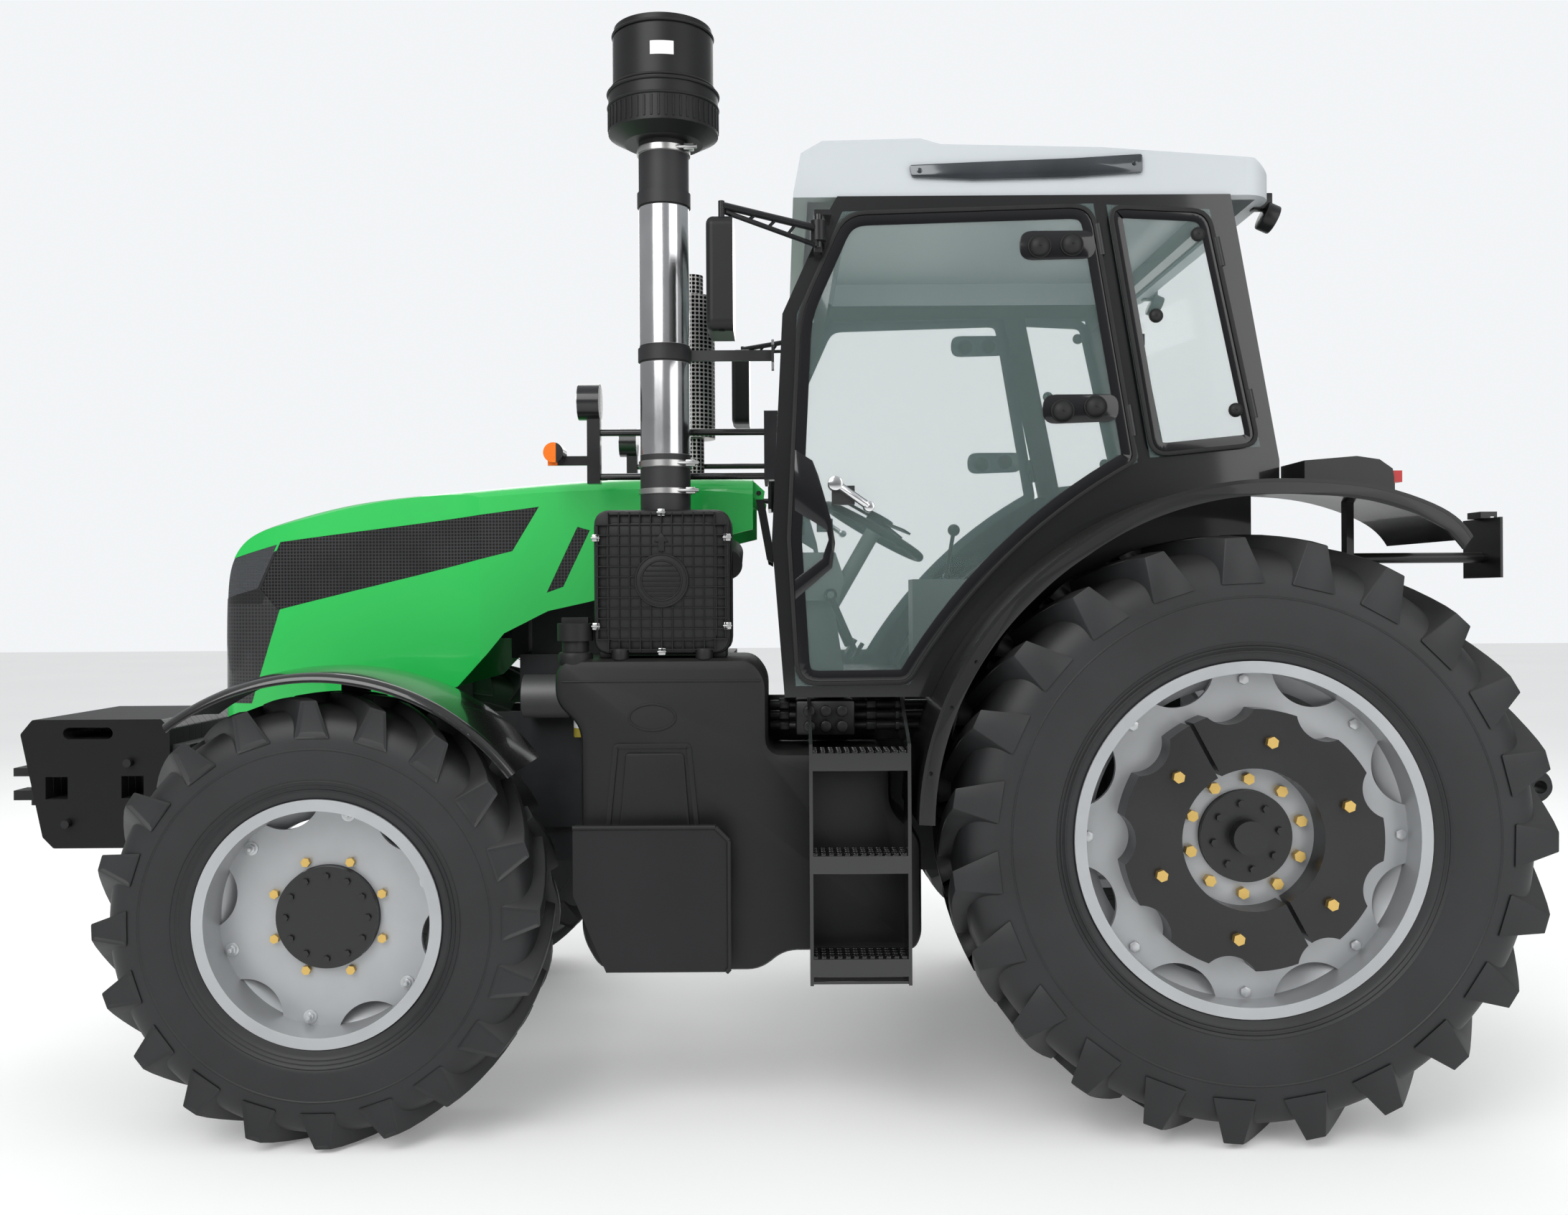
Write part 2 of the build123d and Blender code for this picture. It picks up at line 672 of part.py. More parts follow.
with BuildPart() as precleaner:
    for low, high, radius, top_radius in ((2964, 2990, 120, 168), (2990, 3120, 168, 168), (3120, 3280, 154, 154)):
        with BuildSketch(Plane.XY.offset(low)):
            with Locations(stack):
                Circle(radius)
        with BuildSketch(Plane.XY.offset(high)):
            with Locations(stack):
                Circle(top_radius)
        loft()
    with BuildSketch(Plane.XY.offset(3280)):
        with Locations(stack):
            Circle(150)
    extrude(amount=precleaner_z[1] - 3280)
finish(precleaner.part, "precleaner")

exhaust = (-241, hood_half_width + 115)
finish(group(
    rod((exhaust[0], 150, 1560), (exhaust[0], exhaust[1], 1560), 45)
    + rod((exhaust[0], exhaust[1], 1520), (exhaust[0], exhaust[1], 2860), 45)
    + rod((exhaust[0], exhaust[1], 2208), (exhaust[0], exhaust[1], 2216), 88)
    + rod((exhaust[0], exhaust[1], 2765), (exhaust[0], exhaust[1], 2773), 88)
    + (rod((exhaust[0], exhaust[1], 2208), (exhaust[0], exhaust[1], 2773), 90)
       - rod((exhaust[0], exhaust[1], 2200), (exhaust[0], exhaust[1], 2780), 86)),
), "exhaust_stack")

# ---- cab ----------------------------------------------------------------------------------------
def arch(angle, radius):
    """A point above the rear wheel: the angle is measured up from straight ahead."""
    turn = radians(angle)
    return (rear_axle_x - radius * cos(turn), rear_tyre_radius + radius * sin(turn))


fender_curve = [(3, 950), (12, 956), (24, 962), (36, 966), (48, 970), (60, 980), (73, 1000), (88, 1020), (100, 1038)]
fender_tail = [(109, 1062), (117, 1078), (122, 1080), (126, 1060)]
sill_angle = 24
frame_gap = 0.5

pillar_front = [(116, cab_floor_z - 23), (80, 1744), (116, 2434), (262, 2750), (285, cab_roof_z)]
pillar_rear = [(1480, cab_roof_z), (1624, 1980), (1624, 1900)]


def make_side_frame():
    """One pressed side of the cab: a sill, a front pillar, a roof rail, two rear pillars and the arch."""
    lower = [arch(angle, radius + frame_gap) for angle, radius in fender_curve if angle >= sill_angle]
    with BuildPart() as frame:
        with BuildSketch(side_plane(-cab_half_width)):
            with BuildLine():
                Polyline(*pillar_front)
                Line(pillar_front[-1], pillar_rear[0])
                Polyline(*pillar_rear)
                Line(pillar_rear[-1], lower[-1])
                Spline(*reversed(lower))
                Line(lower[0], (lower[0][0] - 60, cab_floor_z - 23))
                Line((lower[0][0] - 60, cab_floor_z - 23), pillar_front[0])
            make_face()
            with BuildLine():
                Polyline((180, 1335), (150, 1750), (186, 2420), (322, 2724), (1046, 2735), (1196, 1990))
                ThreePointArc((1196, 1990), arch(50, 1052), (500, 1335))
                Line((500, 1335), (180, 1335))
            make_face(mode=Mode.SUBTRACT)
            with BuildLine():
                Polyline((1134, 2735), (1400, 2732), (1546, 2040), (1275, 2010), close=True)
            make_face(mode=Mode.SUBTRACT)
        extrude(amount=-cab_frame_depth)
    return frame.part


def sloped(points, y_from, y_to):
    """A plate between two side-view lines, spanning the cab."""
    return side_plate(points, y_from, y_to)


def make_cab_frame():
    """Both side frames, the floor, the cowl below the windshield, the roof rails and the rear wall."""
    half = cab_half_width - cab_frame_depth
    left = make_side_frame()
    floor = block((118, 470), (-half, half), (cab_floor_z - 23, cab_floor_z + 7))
    floor += block((470, 1600), (-550, 550), (cab_floor_z - 23, cab_floor_z + 7))
    cowl = side_plate([(116, 1267), (80, 1744), (100, 1744), (136, 1267)], -half, half)
    front_rail = side_plate([(250, 2724), (262, 2750), (285, cab_roof_z), (330, cab_roof_z), (300, 2724)], -half, half)
    rear_rail = side_plate([(1440, cab_roof_z), (1480, cab_roof_z), (1489, 2740), (1449, 2740)], -half, half)
    wall = block((1600, 1624), (-550, 550), (cab_floor_z - 23, 1910)) + block((1600, 1624), (-half, half), (1910, 1980))
    mounts = [block((x, x + 120), (y - 60, y + 60), (cab_floor_z - 30, cab_floor_z - 23))
              for x in (220, 1380) for y in (-130, 130)]
    whole = left + right_hand(left) + floor + cowl + front_rail + rear_rail + wall
    for side in (-1, 1):
        near, far = sorted((side * 294, side * 308))
        whole += side_plate([(79, 1690), (81, 1740), (46, 1938), (24, 1938), (22, 1914), (60, 1700)], near, far)
        near, far = sorted((side * 300, side * 330))
        whole += cross_hole(hood_hinge, hood_pin_radius, near, far)
    for mount in mounts:
        whole += mount
    return group(whole)


finish(make_cab_frame(), "cab_frame")


def make_roof():
    """The roof shell: raised at the front, open underneath and rounded at the corners."""
    outline = [(151, 2800), (175, 2925), (240, 2962), (539, 2968), (602, 2950), (1090, 2938), (1560, 2904)]
    outline += [(1621, 2860), (1621, cab_roof_z), (151, cab_roof_z)]
    with BuildPart() as roof:
        with BuildSketch(side_plane(-(cab_half_width - 10))):
            with BuildLine():
                Polyline(*outline, close=True)
            make_face()
        extrude(amount=-(2 * cab_half_width - 20))
        fillet(roof.edges().filter_by(Axis.Z).group_by(Axis.X)[-1], 90)
        with BuildSketch(Plane.XY.offset(cab_roof_z)):
            with Locations((886, 0)):
                Rectangle(1380, 1480)
        extrude(amount=90, mode=Mode.SUBTRACT)
    return roof.part


finish(make_roof(), "roof")

glass = 6
shield_line = [(82, 1750), (116, 2434), (249, 2722)]
with BuildPart() as windshield:
    with BuildSketch(side_plane(-(cab_half_width - cab_frame_depth) + frame_gap)):
        with BuildLine():
            Polyline((84, 1744.5), (121, 2433), (251, 2723.5))
            Line((251, 2723.5), (259, 2723.5))
            Polyline((259, 2723.5), (128, 2432), (91, 1744.5))
            Line((91, 1744.5), (84, 1744.5))
        make_face()
    extrude(amount=-2 * (cab_half_width - cab_frame_depth) + 2 * frame_gap)
finish(windshield.part, "windshield")


def make_fenders():
    """Both rear mudguards: a curved sheet, an inner wall, an inner hump, a tail lamp and a plate bracket."""
    curve = [arch(angle, radius) for angle, radius in fender_curve + fender_tail]
    under = [arch(angle, radius - 10) for angle, radius in fender_curve + fender_tail]
    with BuildPart() as guard:
        with BuildSketch(side_plane(-1085)):
            with BuildLine():
                Spline(*curve)
                Line(curve[-1], under[-1])
                Spline(*reversed(under))
                Line(under[0], curve[0])
            make_face()
        extrude(amount=-(1085 - 556))
    wall_curve = [arch(angle, radius) for angle, radius in fender_curve if angle >= sill_angle]
    base = (wall_curve[-1][0], cab_floor_z - 23)
    with BuildPart() as wall:
        with BuildSketch(side_plane(-556)):
            with BuildLine():
                Spline(*wall_curve)
                Line(wall_curve[-1], base)
                Line(base, wall_curve[0])
            make_face()
        extrude(amount=-5.7)
    with BuildPart() as back:
        with BuildSketch(side_plane(-985)):
            with BuildLine():
                Polyline(
                    (1628, 1960), (1780, 1972), (1846, 1962), (1884, 1935), (1890, 1895), (1890, 1846),
                    (1788, 1874), (1628, 1891), close=True,
                )
            make_face()
        extrude(amount=-185)
    tail = block((1890, 1916), (-975, -810), (1896, 1930))
    stay = rod((1860, -750, 1681), (2262, -750, 1681), 16) + block((1840, 1862), (-770, -730), (1662, 1866))
    plate = block((2262, 2270), (-860, -640), (1618, 1800)) + block((2240, 2290), (-790, -710), (1800, 1820))
    sheet_part = guard.part + back.part
    left = group(sheet_part + stay + plate, wall.part, tail)
    return group(left, right_hand(group(sheet_part, wall.part, tail)))


finish(make_fenders(), "rear_fenders")

# ---- hood and grille ----------------------------------------------------------------------------
def hood_solid(wall):
    """The hood's outside shape, drawn in by the wall thickness, before its lower edge is cut."""
    half = hood_half_width + 15 - wall
    back = hood_back_x + wall
    with BuildPart() as body:
        with BuildSketch(side_plane(-half)):
            with BuildLine():
                Line((-1819 + wall, 1000), (-1815 + wall, 1200))
                Spline(
                    (-1815 + wall, 1200), (-1807 + wall, 1330), (-1786 + wall, 1560),
                    (-1754 + wall, 1700 - wall / 2), (-1690 + wall / 2, 1778 - wall),
                    (-1560, 1836 - wall), (-1349, 1890 - wall), (-980, 1933 - wall),
                    (-598, 1964 - wall), (back, 1972 - wall),
                )
                Line((back, 1972 - wall), (back, 1000))
                Line((back, 1000), (-1819 + wall, 1000))
            make_face()
        extrude(amount=-2 * half)
        fillet(body.edges().filter_by(GeomType.BSPLINE), hood_round - wall)
    with BuildPart() as plan:
        with BuildSketch(Plane.XY.offset(900)):
            with BuildLine():
                Line((back, -half), (-900, -half + 10))
                Spline(
                    (-900, -half + 10), (-1350, -half + 24), (-1650, -half + 42),
                    (-1768 + wall, -half + 90), (-1812 + wall, -half + 180), (-1822 + wall, 0),
                )
                Line((-1822 + wall, 0), (back, 0))
                Line((back, 0), (back, -half))
            make_face()
            mirror(about=Plane.XZ)
        extrude(amount=1200)
    return body.part & plan.part


def prism(points, y_from, y_to):
    """A tool that cuts through the hood's sides."""
    return side_plate(points, y_from, y_to)


hood_edge = [(-1900, 900), (-1900, 1125), (-1817, 1125), (-1214, 1218), (-980, 1279), (-880, 1385), (-820, 1457)]
hood_edge += [(-672, 1531), (-530, 1562), (-456, 1580), (-60, 1782), (23, 1802), (60, 1802), (60, 900)]
side_mesh = [(-1574, 1768), (-700, 1880), (-790, 1732), (-1583, 1540), (-1645, 1611)]
lamp_glass = [(-1900, 1705), (-1761, 1711), (-1585, 1760), (-1656, 1612), (-1788, 1578), (-1900, 1570)]
side_vent = [(-572, 1812), (-530, 1800), (-620, 1612), (-676, 1592)]
front_mesh_z = (1180, 1545)
front_mesh_half = 250
inset_gap = 0.4


def shrink(points, amount):
    """The points drawn towards their middle by about that amount."""
    cx = sum(x for x, z in points) / len(points)
    cz = sum(z for x, z in points) / len(points)
    moved = []
    for x, z in points:
        reach = ((x - cx) ** 2 + (z - cz) ** 2) ** 0.5
        moved.append((x + (cx - x) * amount / reach, z + (cz - z) * amount / reach))
    return moved


hood_shell = hood_solid(0) - hood_solid(hood_wall) - prism(hood_edge, -500, 500)
wide = hood_half_width + 100
lamp_hole = prism(lamp_glass, -wide, -130) + prism(lamp_glass, 130, wide)
mesh_hole = prism(side_mesh, -wide, -200) + prism(side_mesh, 200, wide)
vent_hole = prism(side_vent, -wide, -200) + prism(side_vent, 200, wide)
front_hole = block((-1900, -1700), (-front_mesh_half, front_mesh_half), front_mesh_z)
hood_part = hood_shell - lamp_hole - mesh_hole - vent_hole - front_hole
for y in (-326, 312):
    lug = side_plate([(-30, 1969), (14, 1969), (54, 1932), (50, 1905), (24, 1905), (-30, 1950)], y, y + 14)
    hood_part += lug - cross_hole(hood_hinge, hood_pin_radius + pin_gap, y - 20, y + 40)
finish(group(hood_part), "hood")

grille_shell = hood_solid(1) - hood_solid(hood_wall)
lamp_fill = prism(shrink(lamp_glass, 0.7), -wide, -130.5) + prism(shrink(lamp_glass, 0.7), 130.5, wide)
mesh_fill = prism(shrink(side_mesh, 0.7), -wide, -200) + prism(shrink(side_mesh, 0.7), 200, wide)
vent_fill = prism(shrink(side_vent, 0.9), -wide, -200) + prism(shrink(side_vent, 0.9), 200, wide)
front_fill = block(
    (-1900, -1700), (-front_mesh_half + inset_gap, front_mesh_half - inset_gap),
    (front_mesh_z[0] + inset_gap, front_mesh_z[1] - inset_gap),
)
finish(group(*[grille_shell & tool for tool in (lamp_fill, mesh_fill, vent_fill, front_fill)]), "grille")

# ---- doors and windows --------------------------------------------------------------------------
glass_y = (-(cab_half_width + 14), -(cab_half_width + 8))
hinge_y = -(cab_half_width + 12)
hinge_radius = 11.7
door_hinge = ((1190, 1975), (1060, 2760))
quarter_hinge = ((1562, 2020), (1412, 2740))


def along(line, share):
    """A point part of the way along a hinge line, as (x, y, z)."""
    (x0, z0), (x1, z1) = line
    return (x0 + (x1 - x0) * share, hinge_y, z0 + (z1 - z0) * share)


def make_door():
    """A frameless glass door with two hinge barrels, a latch block and a pull handle."""
    with BuildPart() as door:
        with BuildSketch(side_plane(glass_y[0])):
            with BuildLine():
                Polyline((495, 1305), (150, 1302), (125, 1750), (160, 2430), (300, 2740), (1060, 2760), (1190, 1975))
                ThreePointArc((1190, 1975), arch(50, 1036), (495, 1305))
            make_face()
        extrude(amount=-(glass_y[1] - glass_y[0]))
    barrels = [rod(along(door_hinge, a), along(door_hinge, b), hinge_radius) for a, b in ((0.1, 0.22), (0.8, 0.92))]
    handle = block((262, 330), (glass_y[0] - 36, glass_y[0]), (1850, 1906)) - block((270, 322), (glass_y[0] - 28, glass_y[0] - 2), (1858, 1898))
    latch = block((176, 210), (glass_y[1], -(cab_half_width + 0.3)), (1840, 1890))
    return group(door.part + barrels[0] + barrels[1] + handle + latch)


def make_quarter_window():
    """A hinged pane behind the door, with two hinge barrels and a catch."""
    with BuildPart() as pane:
        with BuildSketch(side_plane(glass_y[0])):
            with BuildLine():
                Polyline((1100, 2756), (1412, 2740), (1562, 2020), (1228, 1988), close=True)
            make_face()
        extrude(amount=-(glass_y[1] - glass_y[0]))
    barrels = [rod(along(quarter_hinge, a), along(quarter_hinge, b), hinge_radius) for a, b in ((0.12, 0.24), (0.76, 0.88))]
    latch = block((1190, 1215), (glass_y[1], -(cab_half_width + 0.3)), (2330, 2365))
    return group(pane.part + barrels[0] + barrels[1] + latch)


door_left = make_door()
quarter_left = make_quarter_window()
for side, turned in (("left", lambda piece: piece), ("right", right_hand)):
    finish(turned(door_left), f"door_{side}")
    finish(turned(quarter_left), f"quarter_window_{side}")

back_slope = (0.1750, -0.9845)
back_normal = (0.9845, 0.1750)


def back_point(down, out):
    """A point on the cab's sloping back: down from the top corner, and out from the face."""
    x = 1480 + back_slope[0] * down + back_normal[0] * out
    z = cab_roof_z + back_slope[1] * down + back_normal[1] * out
    return (x, z)


rear_hinge = back_point(40, 11)
rear_pane = side_plate([back_point(40, 8), back_point(40, 14), back_point(790, 14), back_point(790, 8)], -762, 762)
rear_barrel = rod((rear_hinge[0], -640, rear_hinge[1]), (rear_hinge[0], 640, rear_hinge[1]), 10.7)
rear_latch = side_plate([back_point(770, 0.3), back_point(770, 8), back_point(785, 8), back_point(785, 0.3)], -40, 40)
finish(group(rear_pane + rear_barrel + rear_latch), "rear_window")

# ---- mirrors, lamp rails, steps, dashboard ------------------------------------------------------
mirror_post = (225, -(cab_half_width + 50))
mirror_z = (2640, 2700)
mirror_head_at = (-55, -1096)
mirror_arm_z = 2690


def make_mirror_arm():
    """A swing arm on the front pillar's post, with a drop stem at its outer end."""
    x, y = mirror_post
    ring = rod((x, y, mirror_z[0]), (x, y, mirror_z[1]), 24) - rod((x, y, 2600), (x, y, 2760), 12 + pin_gap)
    bar = rod((x, y, mirror_arm_z - 12), (mirror_head_at[0], mirror_head_at[1] + 0, mirror_arm_z - 12), 11)
    bar -= rod((x, y, 2600), (x, y, 2760), 20)
    stem = rod((mirror_head_at[0], mirror_head_at[1], 2360), (mirror_head_at[0], mirror_head_at[1], 2690), 9)
    return group(ring + bar + stem)


def make_mirror_head():
    """An upright mirror housing that turns on the stem."""
    x, y = mirror_head_at
    with BuildPart() as head:
        with Locations((x - 6, y + 80, 2486)):
            Box(76, 205, 324)
        fillet(head.edges().filter_by(Axis.X), 30)
        fillet(head.faces().sort_by(Axis.X)[0].edges(), 20)
        with Locations((x, y, 2486)):
            Cylinder(9 + pin_gap, 400, mode=Mode.SUBTRACT)
    return head.part


def make_lamp_rail():
    """Two rails ahead of the cab's front corner that carry a work lamp and an indicator."""
    lean = lambda z: 80 + (z - 1744) * 36 / 690 - running_gap
    rails = [rod((-478, -560, z), (66, -560, z), 11) for z in (1963, 2105)]
    plate = block((58, 70), (-cab_half_width, -545), (1930, 2140))
    foot = side_plate([(70, 1930), (lean(1930), 1930), (lean(2140), 2140), (70, 2140)], -cab_half_width, -745)
    front = block((-512, -470), (-578, -542), (1940, 2150))
    arm = block((-640, -500), (-566, -554), (2000, 2030))
    lamp = rod((-540, -560, 2203), (-470, -560, 2203), 58) + rod((-500, -560, 2150), (-500, -560, 2200), 9)
    indicator = rod((-617, -600, 2039), (-617, -520, 2039), 32)
    lip = block((-620, -610), (-566, -554), (2000, 2030))
    return rails[0] + rails[1] + plate + foot + front + arm + lamp + indicator + lip


mirror_arm = make_mirror_arm()
mirror_head = make_mirror_head()
for side, turned in (("left", lambda piece: piece), ("right", right_hand)):
    finish(turned(group(mirror_arm)), f"mirror_arm_{side}")
    finish(turned(group(mirror_head)), f"mirror_head_{side}")
rail = make_lamp_rail()
lamp_posts = []
for side in (-1, 1):
    post = rod((mirror_post[0], side * -mirror_post[1], 2620), (mirror_post[0], side * -mirror_post[1], 2720), 12)
    post += block((213, 237), tuple(sorted((side * cab_half_width, side * (cab_half_width + 56)))), (2606, 2622))
    post += block((213, 264), tuple(sorted((side * cab_half_width, side * (cab_half_width + 56)))), (2718, 2734))
    lamp_posts.append(post)
finish(group(rail, right_hand(rail), *lamp_posts), "lamp_rails")

step_x = (184, 476)
step_treads = (1124, 829, 534)


def make_steps():
    """Three treads between two side plates that hang from the cab's sill."""
    side = [(-1040, 458), (-908, 458), (-908, 1116), (-745, 1150), (-745, cab_floor_z - 23), (-cab_half_width, cab_floor_z - 23)]
    side += [(-1040, 1150)]
    with BuildPart() as steps:
        for x in (step_x[0], step_x[1] - 10):
            with BuildSketch(Plane(origin=(x, 0, 0), x_dir=(0, 1, 0), z_dir=(1, 0, 0))):
                with BuildLine():
                    Polyline(*side, close=True)
                make_face()
            extrude(amount=10)
        for z in step_treads:
            with Locations((sum(step_x) / 2, -974, z - 15)):
                Box(step_x[1] - step_x[0] - 2, 132, 30)
                Box(step_x[1] - step_x[0] - 60, 100, 40, mode=Mode.SUBTRACT)
            for y in (-1000, -974, -948):
                with Locations((sum(step_x) / 2, y, z - 6)):
                    Box(step_x[1] - step_x[0] - 2, 8, 12)
    return steps.part


steps_left = make_steps()
finish(group(steps_left, right_hand(steps_left)), "steps")

floor_top = cab_floor_z + 7
column_low = (300, 1560)
column_high = (455, 1828)


def make_dashboard():
    """The console behind the windshield, the steering column, the pedal bracket and a side console."""
    console = side_plate([(150, floor_top), (330, floor_top), (300, 1500), (330, 1640), (300, 1730), (140, 1730)], -150, 150)
    column = rod((260, 0, 1491), (column_high[0], 0, column_high[1]), 28)
    bracket = block((170, 300), (-190, -150), (1560, 1600)) + block((170, 300), (150, 200), (1560, 1600))
    pins = rod((280, -225, 1580), (280, -150, 1580), 12) + rod((280, 150, 1580), (280, 330, 1580), 12)
    side = block((620, 1250), (345, 520), (floor_top, 1640))
    pedestal = block((900, 1240), (-150, 150), (floor_top, 1480))
    return group(console + column + bracket + pins, side, pedestal)


def make_pedal(y):
    """A hanging pedal: a boss on the cross pin, an arm and a pad."""
    boss = rod((280, y - 14, 1580), (280, y + 14, 1580), 22)
    arm = side_plate([(268, 1575), (292, 1575), (372, 1390), (352, 1382)], y - 7, y + 7)
    pad = side_plate([(352, 1360), (360, 1352), (395, 1408), (386, 1414)], y - 36, y + 36)
    return (boss + arm + pad) - rod((280, y - 80, 1580), (280, y + 80, 1580), 12 + pin_gap)


finish(make_dashboard(), "dashboard")
finish(group(make_pedal(-207)), "clutch_pedal")
finish(group(make_pedal(217), make_pedal(302)), "brake_pedals")

lean_x, lean_z = column_high[0] - 260, column_high[1] - 1491
lean_length = (lean_x ** 2 + lean_z ** 2) ** 0.5
column_axis = (lean_x / lean_length, 0, lean_z / lean_length)
wheel_radius = 205
with BuildPart() as steering_wheel:
    wheel_origin = (column_high[0] + column_axis[0] * 0.3, 0, column_high[1] + column_axis[2] * 0.3)
    wheel_plane = Plane(origin=wheel_origin, x_dir=(0, 1, 0), z_dir=column_axis)
    with BuildSketch(wheel_plane):
        Circle(48)
    extrude(amount=40)
    with BuildSketch(wheel_plane.offset(18)):
        with PolarLocations(110, 3, start_angle=90):
            Rectangle(170, 34)
    extrude(amount=8)
    with BuildSketch(Plane(origin=wheel_origin, x_dir=(0, 1, 0), z_dir=(-column_axis[2], 0, column_axis[0]))):
        with Locations((wheel_radius - 14, 22)):
            Circle(15)
    revolve(axis=Axis(wheel_origin, column_axis))
finish(steering_wheel.part, "steering_wheel")

seat_x = (860, 1300)
seat_y = 255
slide_plate = block((880, 1260), (-180, 180), (1480.3, 1520))
shoulder = side_plate([(1245.9, 1520), (1300, 1520), (1385, 2010), (1342.7, 2010)], -200, 200)
arms = [block((990, 1300), (y - 30, y + 30), (1730, 1770)) for y in (-300, 300)]
arm_posts = [block((1275, 1300), (min(y, y * 0.5), max(y, y * 0.5)), (1560, 1600))
             + block((1275, 1300), (y - 30, y + 30), (1560, 1740)) for y in (-300, 300)]
finish(group(slide_plate + block((880, 1300), (-200, 200), (1520, 1540)) + shoulder + arms[0] + arms[1]
             + arm_posts[0] + arm_posts[1]), "seat_base")
with BuildPart() as squab:
    with Locations((1045, 0, 1590)):
        Box(400, 480, 99.4)
    fillet(squab.edges(), 28)
with BuildPart() as backrest:
    with BuildSketch(side_plane(-230)):
        with BuildLine():
            Polyline((1180, 1645), (1270, 1645), (1352, 2060), (1264, 2060), close=True)
        make_face()
    extrude(amount=-460)
    fillet(backrest.edges(), 24)
finish(group(squab.part, backrest.part), "seat_cushions")

lever = (760, 425, 1652)
knob = rod((lever[0], lever[1], lever[2]), (lever[0] + 30, lever[1], lever[2] + 170), 8)
with BuildPart() as lever_ball:
    with Locations((lever[0] + 32, lever[1], lever[2] + 182)):
        Sphere(24)
pivot_ball = rod((lever[0], lever[1] - 25, lever[2]), (lever[0], lever[1] + 25, lever[2]), 11.7)
finish(group(knob + lever_ball.part + pivot_ball), "gear_lever")

# ---- rear linkage -------------------------------------------------------------------------------
shaft_at = (lift_pivot[0] + 100, lift_pivot[1])
arm_length = 330
arm_end = (shaft_at[0] + arm_length * cos(radians(25)), shaft_at[1] + arm_length * sin(radians(25)))
link_end = (2638, 923)
link_reach = ((link_end[0] - link_pivot[0]) ** 2 + (link_end[1] - link_pivot[1]) ** 2) ** 0.5
link_dir = ((link_end[0] - link_pivot[0]) / link_reach, (link_end[1] - link_pivot[1]) / link_reach)
rod_share = 0.47
rod_foot = (link_pivot[0] + link_dir[0] * link_reach * rod_share, link_pivot[1] + link_dir[1] * link_reach * rod_share)


def bar_between(start, end, width, y_from, y_to):
    """A flat bar with round ends between two side-view points."""
    length = ((end[0] - start[0]) ** 2 + (end[1] - start[1]) ** 2) ** 0.5
    slope = degrees(atan2(end[1] - start[1], end[0] - start[0]))
    with BuildPart() as bar:
        with BuildSketch(side_plane(y_from)):
            with Locations(Location(((start[0] + end[0]) / 2, (start[1] + end[1]) / 2, 0), (0, 0, slope))):
                SlotCenterToCenter(length, width)
        extrude(amount=-(y_to - y_from))
    return bar.part


shaft = rod((shaft_at[0], -260, shaft_at[1]), (shaft_at[0], 260, shaft_at[1]), 40)
arm_left = bar_between(shaft_at, arm_end, 110, -240, -200) + cross_hole(shaft_at, 62, -245, -195)
arm_right = bar_between(shaft_at, arm_end, 110, 200, 240) + cross_hole(shaft_at, 62, 195, 245)
arm_pins = cross_hole(arm_end, 16, -300, -240) + cross_hole(arm_end, 16, 240, 300)
finish(group(shaft + arm_left + arm_right + arm_pins), "lift_arms")


def make_lift_rod(y):
    """A screw rod from the lift arm's pin down beside the lower link."""
    inner = y - 14
    body = bar_between(arm_end, rod_foot, 46, y - 14, y + 14)
    sleeve_low = tuple(arm_end[i] + (rod_foot[i] - arm_end[i]) * 0.3 for i in range(2))
    sleeve_high = tuple(arm_end[i] + (rod_foot[i] - arm_end[i]) * 0.75 for i in range(2))
    body += rod((sleeve_low[0], y, sleeve_low[1]), (sleeve_high[0], y, sleeve_high[1]), 30)
    return body - cross_hole(arm_end, 16 + pin_gap, y - 40, y + 40)


finish(group(make_lift_rod(-280), make_lift_rod(280)), "lift_rods")

def make_link(side):
    """A lower lifting bar: an eye on the axle's pin, a stepped bar and an open hook."""
    ear_from, ear_to = 270.3, 319.7
    bar = bar_between(link_pivot, link_end, 80, 297, 319.7)
    eye = cross_hole(link_pivot, 55, ear_from, ear_to)
    hook = cross_hole(link_end, 56, 300, 370)
    hook += cross_hole((link_end[0], link_end[1]), 40, 290, 400)
    whole = (bar + eye + hook) - cross_hole(link_pivot, lift_pin + pin_gap, 200, 400)
    whole -= cross_hole(link_end, 22, 200, 450)
    return whole if side > 0 else mirror(whole, about=Plane.XZ)


finish(group(make_link(-1), make_link(1)), "lower_links")

top_reach = (2330, 1120)
top_bar = bar_between((1710, 945), top_reach, 56, -28, 28)
finish(group(top_bar - cross_hole((1710, 945), 16 + pin_gap, -60, 60) - cross_hole(top_reach, 13, -60, 60)), "top_link")
bar_hole = rod((1330, 0, 560), (1330, 0, 660), 20 + pin_gap)
hitch_hole = rod((2240, 0, 560), (2240, 0, 660), 16)
finish(group(block((1290, 2300), (-45, 45), (585, 619.7)) - bar_hole - hitch_hole), "drawbar")
pto = rod((1640.3, 0, 730), (1760, 0, 730), 30) + rod((1661, 0, 730), (1700, 0, 730), 38)
finish(group(pto), "pto_shaft")
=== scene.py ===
from math import cos, pi, radians, sin

import bmesh
import bpy
from bpy.props import FloatProperty, FloatVectorProperty, IntProperty, PointerProperty
from bpy.types import Operator, Panel, PropertyGroup
from mathutils import Matrix, Vector


